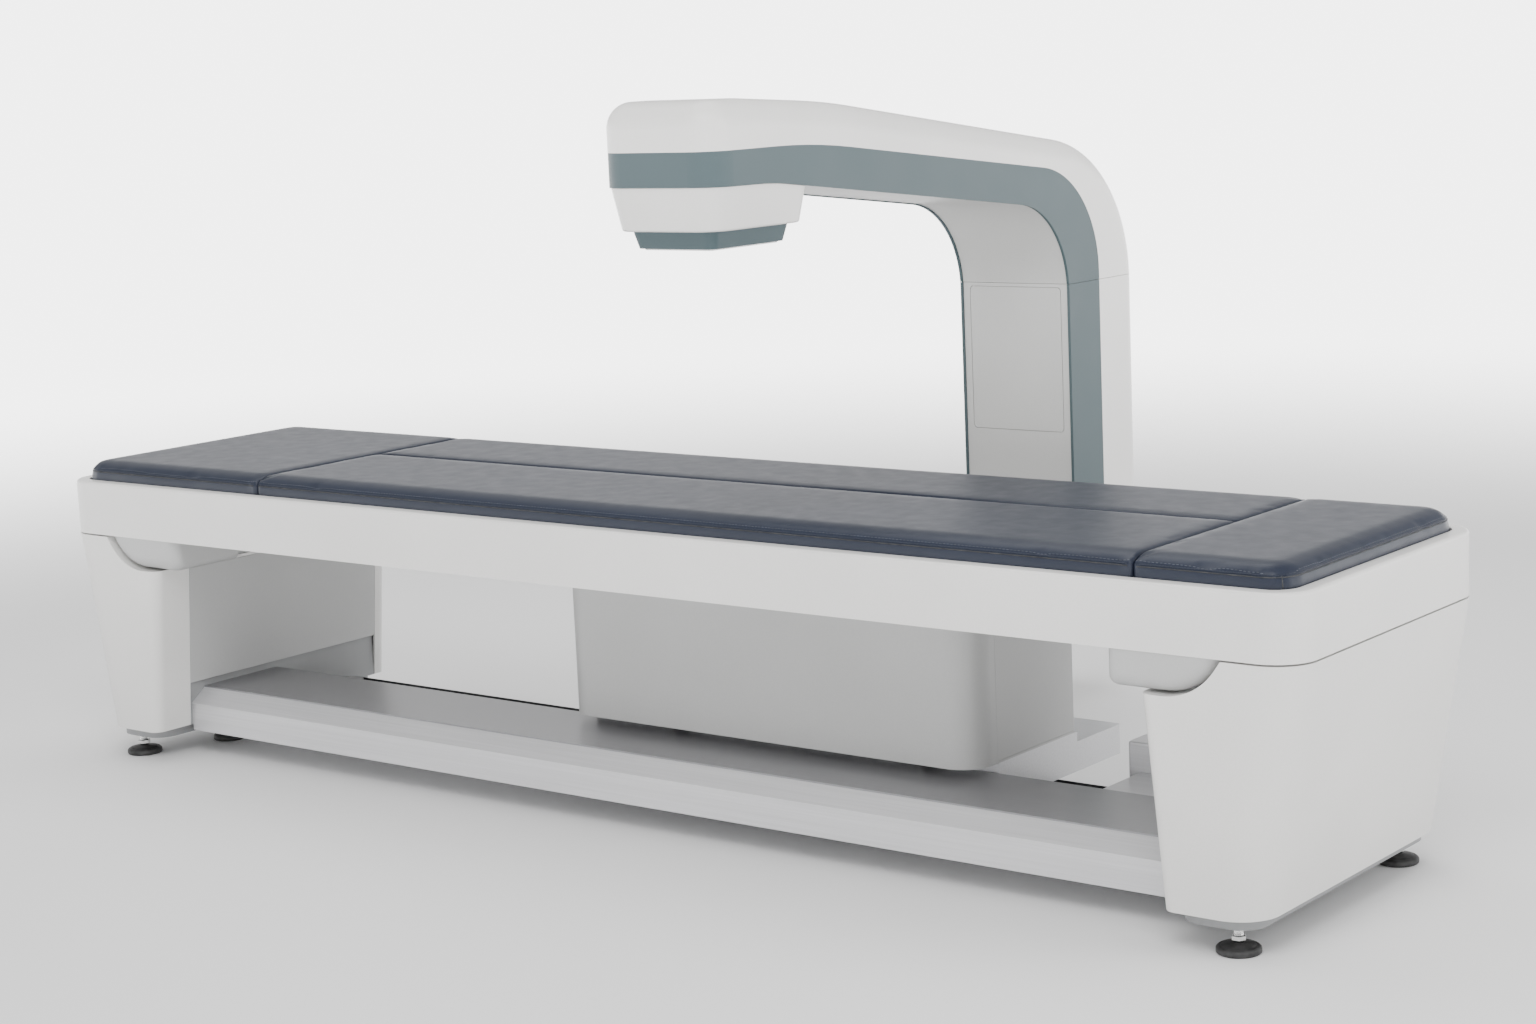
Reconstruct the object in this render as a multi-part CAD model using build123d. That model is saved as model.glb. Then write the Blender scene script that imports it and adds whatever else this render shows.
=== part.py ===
"""Bone densitometer: a padded scan table on two end pedestals, with a C-arm that
travels along the table and carries the X-ray source below and the detector above.

Millimetres, +X along the table, +Y to the back, +Z up.  Lengths are laid out from the
middle of the table on the floor; keep() moves every piece to the final origin, the
middle of the whole object's footprint.
"""
import os
from math import cos, radians, sin
from build123d import *

os.makedirs("parts", exist_ok=True)

# ---------------------------------------------------------------- driving dimensions
# table
TABLE_LENGTH = 2780
TABLE_WIDTH = 640
TABLE_BOTTOM = 460
TRAY_HEIGHT = 106
TRAY_CORNER = 66
TRAY_SKIN = 4
TRAY_RIM = 26
TRAY_EDGE = 6
BOARD_THICKNESS = 12
BOARD_DROP = 26
BOARD_LEDGE = 14
STRETCHER_WIDTH = 60
STRETCHER_WALL = 3
CUSHION_THICKNESS = 50
CUSHION_CORNER = 44
CUSHION_EDGE = 15
CUSHION_SEAM = 0.8
END_SEAM_LEFT = -838
END_SEAM_RIGHT = 1104
LONG_SEAM = 33
TABLE_TRAVEL = 120

# pedestals
FLOOR_GAP = 44
PLINTH_HEIGHT = 18
PLINTH_INSET = 18
INNER_FACE_TOP = 1125
INNER_FACE_BOTTOM = 1158
OUTER_TAPER = 67
PEDESTAL_CORNER = 66
PEDESTAL_INNER_CORNER = 22
PEDESTAL_WALL = 5
TABLE_GAP = 3
CHANNEL_DEPTH = 62
CHANNEL_FLAT = 40
CHANNEL_RADIUS = 110
CHANNEL_ANGLE = 55
CHANNEL_GAP = 4
SIDE_PANEL_FRONT = -232
SIDE_PANEL_BACK = 286
SIDE_PANEL_BOTTOM = 150
PANEL_GAP = 0.9
FRAME_TUBE = 40
FRAME_POST = 48
FRAME_WALL = 3
FRAME_INSET = 12
FRAME_SET_BACK = 14
FRAME_TOP_PLATE = 10

# table brackets
BRACKET_REACH = 60
BRACKET_CORNER = 16
BRACKET_NOSE = 165
BRACKET_STRIP_BOTTOM = 428

# table drive
RAIL_WIDTH = 15
RAIL_HEIGHT = 12
RAIL_OFFSET = 21
BLOCK_WIDTH = 34
BLOCK_LENGTH = 60
BLOCK_HEIGHT = 24
SCREW_OFFSET = 32
SCREW_DROP = 42
SCREW_RADIUS = 8
JOURNAL_RADIUS = 6
SCREW_BEARING = 16
SCREW_BEARING_WIDTH = 36
NUT_SIZE = 30
NUT_POST = 12
SCREW_MOTOR = (56, 60, 52)

# levelling feet
FOOT_INSET = 50
MID_FOOT_Y = -98
MID_FOOT_INSET = 26
PAD_RADIUS = 35
PAD_HEIGHT = 16
STEM_RADIUS = 8
FOOT_FIT = 0.3

# beams between the pedestals
FRONT_BEAM_FRONT = -225
FRONT_BEAM_BACK = 6
FRONT_BEAM_BOTTOM = 50
FRONT_BEAM_HEIGHT = 82
BEAM_CHAMFER_Y = 36
BEAM_CHAMFER_Z = 26
BEAM_WALL = 4
TREAD_THICKNESS = 3
REAR_BEAM_Y = 190
REAR_BEAM_WIDTH = 90
REAR_BEAM_BOTTOM = 28
REAR_BEAM_HEIGHT = 34
RUNNING_GAP = 0.3
DUCT_DEPTH = 15

# carriage and source housing
HOUSING_LEFT = -270
HOUSING_RIGHT = 652
HOUSING_FRONT = -66
HOUSING_BACK = 250
HOUSING_BOTTOM = 152
HOUSING_CLEARANCE = 10
HOUSING_CORNER = 55
HOUSING_WALL = 4
HOUSING_PANEL_INSET = 72
SADDLE_BOTTOM = 80
SADDLE_STEP = 134
SADDLE_BACK = 410
SADDLE_WALL = 6
CARRIAGE_BLOCK_HEIGHT = 30
BEARING_INSET = 80
CARRIAGE_TRAVEL_RIGHT = 160
ROLLER_RADIUS = 7
ROLLER_WIDTH = 14
ROLLER_AXLE = 2.5
ROLLER_OFFSETS = (-180, 380)
FORK_PLATE = 3
FORK_CHEEK = 3
AXLE_RADIUS = 4
AXLE_FIT = 0.05
PULLEY_RADIUS = 25
PULLEY_HEIGHT = 11
BELT_THICKNESS = 1.5
BELT_WIDTH = 9
BELT_LEFT = -1128
BELT_LIFT = 2
CLAMP_WIDTH = 40
MOTOR_WIDTH = 130
MOTOR_SIZE = 60
MOTOR_HEIGHT = 70
MOTOR_GAP = 14
MOUNT_LIFT = 16
MOUNT_PLATE = 4
MOTOR_COVER_TOP = 182
MOTOR_COVER_WALL = 3

# source
BEAM_OFFSET = 27
BEAM_PORT = 36
TANK_WIDTH = 300
TANK_DEPTH = 200
TANK_GAP = 4
TANK_TOP = 372
COLLIMATOR_TOP = 398
COLLIMATOR_WIDTH = 72
COLLIMATOR_DEPTH = 38
SLIT_WIDTH = 6
WHEEL_RADIUS = 52
WHEEL_OFFSET = 40
WHEEL_LIFT = 4
WHEEL_THICKNESS = 6
WHEEL_WINDOW = 9
FILTER_COUNT = 6
FILTER_MOTOR_RADIUS = 18
SHUTTER_REACH = 62
SHUTTER_LIFT = 14
SHUTTER_THICKNESS = 5

# C-arm
ARM_X = 126
ARM_WIDTH = 262
ARM_SKIN = 5
ARM_FRONT = -205
ARM_BACK = 1167
ARM_BOTTOM = 160
ARM_TOP_FRONT = 1290
ARM_TOP_FLAT = 110
ARM_TOP_BREAK = (162, 1274)
ARM_TOP_CORNER = 1131
ARM_OUTER_RADIUS = 297
ARM_BREAK_RADIUS = 1800
BAND_TOP_FRONT = 1204
BAND_TOP_BREAK = (80, 1204)
BAND_TOP_CORNER = (1016, 1093)
BAND_TOP_RADIUS = 221
BAND_BOTTOM_FRONT = 1144
BAND_BOTTOM_BREAK = (-33, 1142)
COLUMN_FRONT = 902
THROAT_CORNER = 1030
THROAT_RADIUS = 185
BAND_THICKNESS = 6
HEAD_CORNER = 56
CROWN_RADIUS = 46
ARM_SEAM = 880
SEAM_GAP = 0.8
DOOR_BOTTOM = 581
DOOR_TOP = 872
DOOR_INSET = 23
DOOR_CORNER = 8
DOOR_GAP = 1.2
LOWER_ARM_TOP = 400
LOWER_ARM_WIDTH = 210
LOWER_ARM_WALL = 4
LOWER_ARM_CORNER = 20
LOWER_ARM_GAP = 0.5
SPINE_WIDTH = 130
SPINE_WALL = 8
SPINE_INSET = 40
SPINE_COVER_GAP = 1
SPINE_LAP = 38
SKIN_GAP = 0.5
LINER_DEPTH = (2, 6)
PANEL_DEPTH = (2, 6)
DOOR_REBATE = 3
HEAD_INSET = 3
HEAD_WALL = 5
HEAD_BACK = 92
HEAD_BLOCK_HEIGHT = 76
HEAD_BLOCK_TAPER = 13
SENSOR_INSET = 37
SENSOR_HEIGHT = 31
SENSOR_TAPER = 8
WINDOW_THICKNESS = 3
WINDOW_INSET = 24
WINDOW_LAP = 6
HEAD_PORT = 60
DETECTOR_SIZE = 56
DETECTOR_BOARD = 120
HEAD_GAP = 0.5

# electrics
UNIT_DEPTH = 80
SUPPLY_SIZE = (220, 150)
CONTROL_SIZE = (220, 190)
INLET_OFFSET = 80
INLET_Z = 150
INLET_SOCKET = (22, 15, 18)
INLET_BODY = (27, 19, 24)
INLET_HOLE = (28, 20)
INLET_FLANGE = (44, 30, 2.5)

# ---------------------------------------------------------------- derived places
HALF_LENGTH = TABLE_LENGTH / 2
HALF_WIDTH = TABLE_WIDTH / 2
TABLE_TOP = TABLE_BOTTOM + TRAY_HEIGHT
BOARD_TOP = TABLE_TOP - BOARD_DROP + BOARD_THICKNESS
PLINTH_TOP = FLOOR_GAP + PLINTH_HEIGHT
PEDESTAL_TOP = TABLE_BOTTOM - TABLE_GAP
CHANNEL_FLOOR = PEDESTAL_TOP - CHANNEL_DEPTH
CHANNEL_START = INNER_FACE_TOP + CHANNEL_FLAT
BEAM_TOP = FRONT_BEAM_BOTTOM + FRONT_BEAM_HEIGHT
TREAD_TOP = BEAM_TOP + TREAD_THICKNESS
REAR_BEAM_TOP = REAR_BEAM_BOTTOM + REAR_BEAM_HEIGHT
HOUSING_TOP = TABLE_BOTTOM - HOUSING_CLEARANCE
ARM_LEFT = ARM_X - ARM_WIDTH / 2
ARM_RIGHT = ARM_X + ARM_WIDTH / 2
LOWER_ARM_END = COLUMN_FRONT + SPINE_LAP
RAIL_X = INNER_FACE_TOP + RAIL_OFFSET
SCREW_X = RAIL_X + SCREW_OFFSET
SCREW_Z = CHANNEL_FLOOR - SCREW_DROP
SCREW_HALF = TABLE_TRAVEL + 60
SLOT_X = (SCREW_X - NUT_POST / 2 - 1, SCREW_X + NUT_POST / 2 + 1)
SLOT_HALF = TABLE_TRAVEL + NUT_SIZE / 2 + 2
FRAME_INNER = INNER_FACE_BOTTOM + FRAME_SET_BACK
PLATE_LOW = CHANNEL_FLOOR - PEDESTAL_WALL - FRAME_TOP_PLATE
BLOCK_TOP = CHANNEL_FLOOR + BLOCK_HEIGHT
TABLE_RAIL_HALF = TABLE_TRAVEL + BLOCK_LENGTH / 2
MOTOR_LEFT = HOUSING_RIGHT + CARRIAGE_TRAVEL_RIGHT + MOTOR_GAP
BELT_RIGHT = MOTOR_LEFT + MOTOR_WIDTH / 2
BELT_LOW = REAR_BEAM_TOP + BELT_LIFT
MOUNT_LOW = REAR_BEAM_TOP + MOUNT_LIFT
BEARING_X = (HOUSING_LEFT + BEARING_INSET, HOUSING_RIGHT - BEARING_INSET)
CARRIAGE_BLOCK_TOP = REAR_BEAM_TOP + CARRIAGE_BLOCK_HEIGHT
ROLLER_X = [ARM_X + offset for offset in ROLLER_OFFSETS]
ROLLER_Y = FRONT_BEAM_BACK - ROLLER_WIDTH - 2
ROLLER_Z = TREAD_TOP + RUNNING_GAP + ROLLER_RADIUS
HEAD_MIDDLE = (ARM_FRONT + HEAD_BACK) / 2
BEAM_Y = HEAD_MIDDLE + BEAM_OFFSET
WHEEL_AT = (ARM_X, BEAM_Y + WHEEL_OFFSET)
SHUTTER_POST = (ARM_X - SHUTTER_REACH, BEAM_Y - 6)
LINER_X = (ARM_LEFT + BAND_THICKNESS + SKIN_GAP, ARM_RIGHT - BAND_THICKNESS - SKIN_GAP)
PANEL_Y = (COLUMN_FRONT + PANEL_DEPTH[0], COLUMN_FRONT + PANEL_DEPTH[1])
SPINE_X = (ARM_X - SPINE_WIDTH / 2, ARM_X + SPINE_WIDTH / 2)
LOWER_X = (ARM_X - LOWER_ARM_WIDTH / 2, ARM_X + LOWER_ARM_WIDTH / 2)
HEAD_X = (ARM_LEFT + HEAD_INSET, ARM_RIGHT - HEAD_INSET)
HEAD_Y = (ARM_FRONT + HEAD_INSET, HEAD_BACK)
HEAD_TOP = BAND_BOTTOM_FRONT - HEAD_GAP
HEAD_LOW = HEAD_TOP - HEAD_BLOCK_HEIGHT
SENSOR_X = (ARM_LEFT + SENSOR_INSET, ARM_RIGHT - SENSOR_INSET)
SENSOR_Y = (ARM_FRONT + SENSOR_INSET, HEAD_BACK - SENSOR_INSET)
SENSOR_LOW = HEAD_LOW - SENSOR_HEIGHT
WINDOW_X = (SENSOR_X[0] + WINDOW_INSET, SENSOR_X[1] - WINDOW_INSET)
WINDOW_Y = (SENSOR_Y[0] + WINDOW_INSET, SENSOR_Y[1] - WINDOW_INSET)
INLET_X = INNER_FACE_BOTTOM + INLET_OFFSET
DEPTH_MIDDLE = (ARM_BACK - HALF_WIDTH) / 2


# ---------------------------------------------------------------- helpers
def keep(name, *solids):
    """Write a sub-part, moved from the table's middle to the footprint's middle."""
    moved = [s.moved(Location((0, -DEPTH_MIDDLE, 0))) for s in solids]
    shape = moved[0] if len(moved) == 1 else Compound(children=moved)
    export_step(shape, f"parts/{name}.step")


def block(x, y, z):
    """A box between two corners, each axis given as (low, high)."""
    size = (x[1] - x[0], y[1] - y[0], z[1] - z[0])
    place = (x[0], y[0], z[0])
    box = Box(*size, align=(Align.MIN, Align.MIN, Align.MIN))
    return box.moved(Location(place)).solid()


def upright(x, y, z, radius):
    """A box with rounded vertical corners."""
    plan = RectangleRounded(x[1] - x[0], y[1] - y[0], radius)
    centre = ((x[0] + x[1]) / 2, (y[0] + y[1]) / 2, z[0])
    return extrude(plan, z[1] - z[0]).moved(Location(centre)).solid()


def rod(radius, start, direction, length):
    """A cylinder from a point, along a direction."""
    plane = Plane(origin=start, z_dir=direction)
    return extrude(plane * Circle(radius), length).solid()


def tapered(x, y, z, corner, taper):
    """A rounded block that narrows by taper on each side towards its lower end."""
    middle = ((x[0] + x[1]) / 2, (y[0] + y[1]) / 2)
    width = x[1] - x[0]
    depth = y[1] - y[0]
    top = Plane(origin=(*middle, z[1])) * RectangleRounded(width, depth, corner)
    low_plan = RectangleRounded(width - 2 * taper, depth - 2 * taper, corner - taper * 0.4)
    low = Plane(origin=(*middle, z[0])) * low_plan
    return loft([low.face(), top.face()]).solid()


def side_extrude(face, x):
    """Extrude a face drawn in Y and Z between two X places."""
    return extrude(face.moved(Location((x[0], 0, 0))), x[1] - x[0], dir=(1, 0, 0)).solid()


def both_sides(solid):
    """A right-hand piece's mirror image on the left, and the piece itself."""
    return [mirror(solid, about=Plane.YZ).solid(), solid]


def around(middle, size):
    """A span of the given size about its middle."""
    return (middle - size / 2, middle + size / 2)


def upright_edges(solid):
    return [e for e in solid.edges() if abs(e.tangent_at(0.5).Z) > 0.9]


def box_tube(x, y, z, wall, along):
    """A rectangular tube with open ends along one axis."""
    spans = {"x": x, "y": y, "z": z}
    inner = {k: (v if k == along else (v[0] + wall, v[1] - wall)) for k, v in spans.items()}
    return (block(x, y, z) - block(inner["x"], inner["y"], inner["z"])).solid()


# ---------------------------------------------------------------- table
def table_tray():
    """Moulded tray: floor, outer walls, a ledge for the board and a hollow rim."""
    def plan(inset, low, high):
        x = HALF_LENGTH - inset
        y = HALF_WIDTH - inset
        return upright((-x, x), (-y, y), (low, high), max(TRAY_CORNER - inset, 8))

    ledge_top = TABLE_TOP - BOARD_DROP
    inner_wall = TRAY_RIM - TRAY_SKIN
    tray = plan(0, TABLE_BOTTOM, TABLE_TOP)
    tray = fillet(tray.edges().group_by(Axis.Z)[-1], TRAY_EDGE)
    rim_hollow = plan(TRAY_SKIN, ledge_top - 0.01, TABLE_TOP - TRAY_SKIN) - plan(inner_wall, 0, TABLE_TOP)
    tray = tray - plan(TRAY_SKIN, TABLE_BOTTOM + TRAY_SKIN, ledge_top - TRAY_SKIN)
    tray = tray - plan(TRAY_RIM + BOARD_LEDGE, TABLE_BOTTOM + TRAY_SKIN, ledge_top)
    tray = tray - plan(TRAY_RIM, ledge_top, TABLE_TOP + 1)
    return (tray - rim_hollow).solid()


def table_board():
    """Radiolucent board that closes the tray under the mattress."""
    x = HALF_LENGTH - TRAY_RIM - PANEL_GAP / 2
    y = HALF_WIDTH - TRAY_RIM - PANEL_GAP / 2
    return upright((-x, x), (-y, y), (TABLE_TOP - BOARD_DROP, BOARD_TOP), TRAY_CORNER - TRAY_RIM)


def cushions():
    """Four cushions that share one rounded outline, split at the seams."""
    inset = TRAY_RIM + 1
    x = HALF_LENGTH - inset
    y = HALF_WIDTH - inset
    low = BOARD_TOP + RUNNING_GAP
    pad = upright((-x, x), (-y, y), (low, BOARD_TOP + CUSHION_THICKNESS), CUSHION_CORNER)
    pad = fillet(pad.edges().group_by(Axis.Z)[-1], CUSHION_EDGE)
    half = CUSHION_SEAM / 2
    centre = (END_SEAM_LEFT + half, END_SEAM_RIGHT - half)
    cells = {
        "cushion_left_end": ((-x, END_SEAM_LEFT - half), (-y, y)),
        "cushion_right_end": ((END_SEAM_RIGHT + half, x), (-y, y)),
        "cushion_front": (centre, (-y, LONG_SEAM - half)),
        "cushion_rear": (centre, (LONG_SEAM + half, y)),
    }
    top = TABLE_TOP + CUSHION_THICKNESS
    return {name: (pad & block(cx, cy, (low, top))).solid() for name, (cx, cy) in cells.items()}


def table_stretchers():
    """Two long tubes that carry the board between the tray's floor and the board."""
    z = (TABLE_BOTTOM + TRAY_SKIN, TABLE_TOP - BOARD_DROP)
    reach = HALF_LENGTH - TRAY_CORNER
    low = HALF_WIDTH - TRAY_RIM - BOARD_LEDGE - 10 - STRETCHER_WIDTH
    tube_back = box_tube((-reach, reach), (low, low + STRETCHER_WIDTH), z, STRETCHER_WALL, "x")
    return [tube_back, mirror(tube_back, about=Plane.XZ).solid()]


# ---------------------------------------------------------------- pedestals
def channel_line(gap):
    """The channel's floor and rising curve, raised by gap, from the inner side outwards."""
    radius = CHANNEL_RADIUS - gap
    centre = Vector(CHANNEL_START, CHANNEL_FLOOR + CHANNEL_RADIUS)
    angle = radians(CHANNEL_ANGLE)
    start = Vector(CHANNEL_START, CHANNEL_FLOOR + gap)
    end = centre + Vector(sin(angle), -cos(angle)) * radius
    middle = centre + Vector(sin(angle / 2), -cos(angle / 2)) * radius
    return start, middle, end


def channel_top(gap, height):
    """Where the rising curve's tangent reaches a height."""
    end = channel_line(gap)[2]
    angle = radians(CHANNEL_ANGLE)
    return end.X + (height - end.Y) * cos(angle) / sin(angle)


def pedestal_face(drop=0):
    """The pedestal's outline in X and Z; drop carries its sides on below the plinth."""
    start, middle, end = channel_line(0)
    rise = CHANNEL_FLOOR - PLINTH_TOP
    lean = (INNER_FACE_BOTTOM - INNER_FACE_TOP) / rise
    taper = OUTER_TAPER / (PEDESTAL_TOP - PLINTH_TOP)
    low = PLINTH_TOP - drop
    inner_low = (INNER_FACE_BOTTOM + lean * drop, low)
    outer_low = (HALF_LENGTH - OUTER_TAPER - taper * drop, low)
    inner_top = (INNER_FACE_TOP, CHANNEL_FLOOR)
    shoulder = (channel_top(0, PEDESTAL_TOP), PEDESTAL_TOP)
    with BuildSketch(Plane.XZ) as sketch:
        with BuildLine():
            Polyline(inner_low, inner_top, (start.X, start.Y))
            ThreePointArc((start.X, start.Y), (middle.X, middle.Y), (end.X, end.Y))
            Polyline((end.X, end.Y), shoulder, (HALF_LENGTH, PEDESTAL_TOP), outer_low, inner_low)
        make_face()
    return sketch.sketch


def pedestal_solid(face, depth, outer_corner, inner_corner):
    """The outline carried through the pedestal's depth, with rounded upright corners."""
    body = extrude(face, depth / 2, both=True).solid()
    ends = upright_edges(body)
    ends.sort(key=lambda e: e.center().X)
    body = fillet(ends[-2:], outer_corner)
    inner = upright_edges(body)
    inner.sort(key=lambda e: e.center().X)
    return fillet(inner[:2], inner_corner).solid()


def inner_strip(out, back, y, z):
    """A slab that follows the leaning inner face, from out in front of it to back behind."""
    lean = (INNER_FACE_BOTTOM - INNER_FACE_TOP) / (CHANNEL_FLOOR - PLINTH_TOP)

    def face_x(height):
        return INNER_FACE_TOP + (CHANNEL_FLOOR - height) * lean

    corners = [
        (face_x(z[0]) - out, z[0]),
        (face_x(z[0]) + back, z[0]),
        (face_x(z[1]) + back, z[1]),
        (face_x(z[1]) - out, z[1]),
    ]
    face = Plane.XZ * Polygon(*corners, align=None)
    slab = extrude(face, y[1] - y[0], dir=(0, 1, 0))
    return slab.moved(Location((0, y[0], 0))).solid()


def pedestal_shell():
    """White moulded shell, open below and where the side panel sits."""
    outer = pedestal_solid(pedestal_face(), TABLE_WIDTH, PEDESTAL_CORNER, PEDESTAL_INNER_CORNER)
    hollow_face = offset(pedestal_face(drop=40), amount=-PEDESTAL_WALL, kind=Kind.INTERSECTION)
    hollow = pedestal_solid(
        hollow_face,
        TABLE_WIDTH - 2 * PEDESTAL_WALL,
        PEDESTAL_CORNER - PEDESTAL_WALL,
        PEDESTAL_INNER_CORNER - PEDESTAL_WALL,
    )
    opening = inner_strip(
        20,
        PEDESTAL_WALL + 2,
        (SIDE_PANEL_FRONT, SIDE_PANEL_BACK),
        (PLINTH_TOP - 1, CHANNEL_FLOOR - PEDESTAL_WALL - PANEL_GAP),
    )
    shell = outer - hollow - opening
    slot = block(SLOT_X, (-SLOT_HALF, SLOT_HALF), (CHANNEL_FLOOR - 20, CHANNEL_FLOOR + 10))
    return shell - slot


def side_panel():
    """Grey panel let into the pedestal's inner side."""
    panel = inner_strip(
        0,
        PEDESTAL_WALL,
        (SIDE_PANEL_FRONT + PANEL_GAP, SIDE_PANEL_BACK - PANEL_GAP),
        (SIDE_PANEL_BOTTOM, CHANNEL_FLOOR - PEDESTAL_WALL - 2 * PANEL_GAP),
    )
    return panel


def pedestal_frame():
    """Welded frame: two posts, a top plate under the channel and a sill for the beams."""
    top = CHANNEL_FLOOR - PEDESTAL_WALL
    outer = FRAME_INNER + FRAME_POST
    plate_x = (INNER_FACE_TOP + 12, outer + 4)
    reach = HALF_WIDTH - FRAME_INSET
    frame = block(plate_x, (-reach, reach), (PLATE_LOW, top))
    for y in (-reach, reach - FRAME_TUBE):
        post_y = (y, y + FRAME_TUBE)
        frame += box_tube((FRAME_INNER, outer), post_y, (PLINTH_TOP, PLATE_LOW), FRAME_WALL, "z")
    sill_y = (SIDE_PANEL_FRONT + PANEL_GAP, SIDE_PANEL_BACK - PANEL_GAP)
    sill_top = SIDE_PANEL_BOTTOM - PANEL_GAP
    frame += block((INNER_FACE_BOTTOM, FRAME_INNER), sill_y, (PLINTH_TOP, sill_top))
    slot = block(SLOT_X, (-SLOT_HALF, SLOT_HALF), (PLATE_LOW - 1, top + 1))
    return (frame - slot).solid()


def plinth_span():
    """The right plinth's reach in X."""
    return (INNER_FACE_BOTTOM + 12, HALF_LENGTH - OUTER_TAPER - PLINTH_INSET)


def feet_places():
    """X and Y of the right pedestal's three feet."""
    inner, outer = plinth_span()
    y = HALF_WIDTH - FOOT_INSET
    outer_x = outer - FOOT_INSET + 7
    return {
        "front": (outer_x, -y),
        "rear": (outer_x, y),
        "mid": (inner + MID_FOOT_INSET, MID_FOOT_Y),
    }


def plinth():
    """Base plate under a pedestal, drilled for the feet."""
    y = HALF_WIDTH - PLINTH_INSET
    plate = upright(plinth_span(), (-y, y), (FLOOR_GAP, PLINTH_TOP), 44)
    for place in feet_places().values():
        plate = plate - rod(STEM_RADIUS + FOOT_FIT, (*place, 0), (0, 0, 1), 200)
    return plate.solid()


def foot_pad(place):
    """Round pad with a domed top and a socket for the stem."""
    x, y = place
    with BuildSketch(Plane.XZ) as section:
        with BuildLine():
            Polyline((0, 0), (PAD_RADIUS - 2, 0), (PAD_RADIUS, 2), (PAD_RADIUS, 7))
            ThreePointArc((PAD_RADIUS, 7), (PAD_RADIUS - 5, 12), (PAD_RADIUS - 14, PAD_HEIGHT - 2))
            Polyline((PAD_RADIUS - 14, PAD_HEIGHT - 2), (STEM_RADIUS + 4, PAD_HEIGHT), (0, PAD_HEIGHT))
            Line((0, PAD_HEIGHT), (0, 0))
        make_face()
    return revolve(section.sketch, Axis.Z).moved(Location((x, y, 0))).solid()


def foot_stem(place):
    """Plated threaded stem with a hexagon for the spanner."""
    hexagon = extrude(RegularPolygon(STEM_RADIUS + 4, 6), 8)
    hexagon = hexagon.moved(Location((*place, PAD_HEIGHT + 4)))
    stem = rod(STEM_RADIUS, (*place, PAD_HEIGHT), (0, 0, 1), PLINTH_TOP - PAD_HEIGHT + 22)
    return (stem + hexagon).solid()


def table_bracket():
    """Bracket that nests in the channel: a deep nose at the front, a thinner strip behind."""
    start, middle, end = channel_line(CHANNEL_GAP)
    inner = INNER_FACE_TOP - BRACKET_REACH
    top_x = channel_top(CHANNEL_GAP, TABLE_BOTTOM)
    floor = start.Y
    with BuildSketch(Plane.XZ) as sketch:
        with BuildLine():
            Polyline((inner, TABLE_BOTTOM), (inner, floor), (start.X, floor))
            ThreePointArc((start.X, floor), (middle.X, middle.Y), (end.X, end.Y))
            Polyline((end.X, end.Y), (top_x, TABLE_BOTTOM), (inner, TABLE_BOTTOM))
        make_face()
    half = HALF_WIDTH - 2
    whole = extrude(sketch.sketch, half, both=True).solid()
    low = [e for e in whole.edges() if e.center().X < inner + 1 and e.center().Z < floor + 1]
    whole = fillet(low, BRACKET_CORNER).solid()
    front = [e for e in whole.edges() if abs(e.tangent_at(0.5).Z) > 0.9 and e.center().X < inner + 1]
    whole = fillet([e for e in front if e.center().Y < 0], 24).solid()
    nose_back = -half + BRACKET_NOSE
    strip = block((inner - 1, INNER_FACE_TOP - 8), (nose_back, half + 1), (floor - 1, BRACKET_STRIP_BOTTOM))
    half_groove = BLOCK_WIDTH / 2 + 1
    reach = TABLE_RAIL_HALF + TABLE_TRAVEL + 2
    groove = block((RAIL_X - half_groove, RAIL_X + half_groove), (-reach, reach), (floor - 1, BLOCK_TOP))
    return (whole - strip - groove).solid()


def table_rail():
    """Linear rail on the channel floor."""
    x = (RAIL_X - RAIL_WIDTH / 2, RAIL_X + RAIL_WIDTH / 2)
    return block(x, (-TABLE_RAIL_HALF, TABLE_RAIL_HALF), (CHANNEL_FLOOR, CHANNEL_FLOOR + RAIL_HEIGHT))


def bearing_block(centre, floor, top, along):
    """Bearing block that straddles a rail with a small running gap."""
    half_slot = RAIL_WIDTH / 2 + RUNNING_GAP
    half = BLOCK_WIDTH / 2
    slot_top = floor + RAIL_HEIGHT + RUNNING_GAP
    x, y = centre
    if along == "y":
        body = block((x - half, x + half), (y - BLOCK_LENGTH / 2, y + BLOCK_LENGTH / 2), (floor + 3, top))
        slot = block((x - half_slot, x + half_slot), (y - BLOCK_LENGTH, y + BLOCK_LENGTH), (floor, slot_top))
    else:
        body = block((x - BLOCK_LENGTH / 2, x + BLOCK_LENGTH / 2), (y - half, y + half), (floor + 3, top))
        slot = block((x - BLOCK_LENGTH, x + BLOCK_LENGTH), (y - half_slot, y + half_slot), (floor, slot_top))
    return (body - slot).solid()


def table_screw():
    """Lead screw across the right pedestal, turned down where its bearings hold it."""
    screw = rod(SCREW_RADIUS, (SCREW_X, -SCREW_HALF, SCREW_Z), (0, 1, 0), 2 * SCREW_HALF)
    reach = SCREW_HALF + SCREW_BEARING + 8
    ends = rod(JOURNAL_RADIUS, (SCREW_X, -reach, SCREW_Z), (0, 1, 0), 2 * reach)
    return (screw + ends).solid()


def screw_bearings():
    """Two pillow blocks under the frame's top plate."""
    half = SCREW_BEARING_WIDTH / 2
    blocks = []
    for low in (-SCREW_HALF - SCREW_BEARING - 2, SCREW_HALF + 2):
        body = block(around(SCREW_X, 2 * half), (low, low + SCREW_BEARING), (SCREW_Z - half, PLATE_LOW))
        bore = rod(JOURNAL_RADIUS + AXLE_FIT, (SCREW_X, low - 1, SCREW_Z), (0, 1, 0), SCREW_BEARING + 2)
        blocks.append((body - bore).solid())
    return blocks


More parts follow.
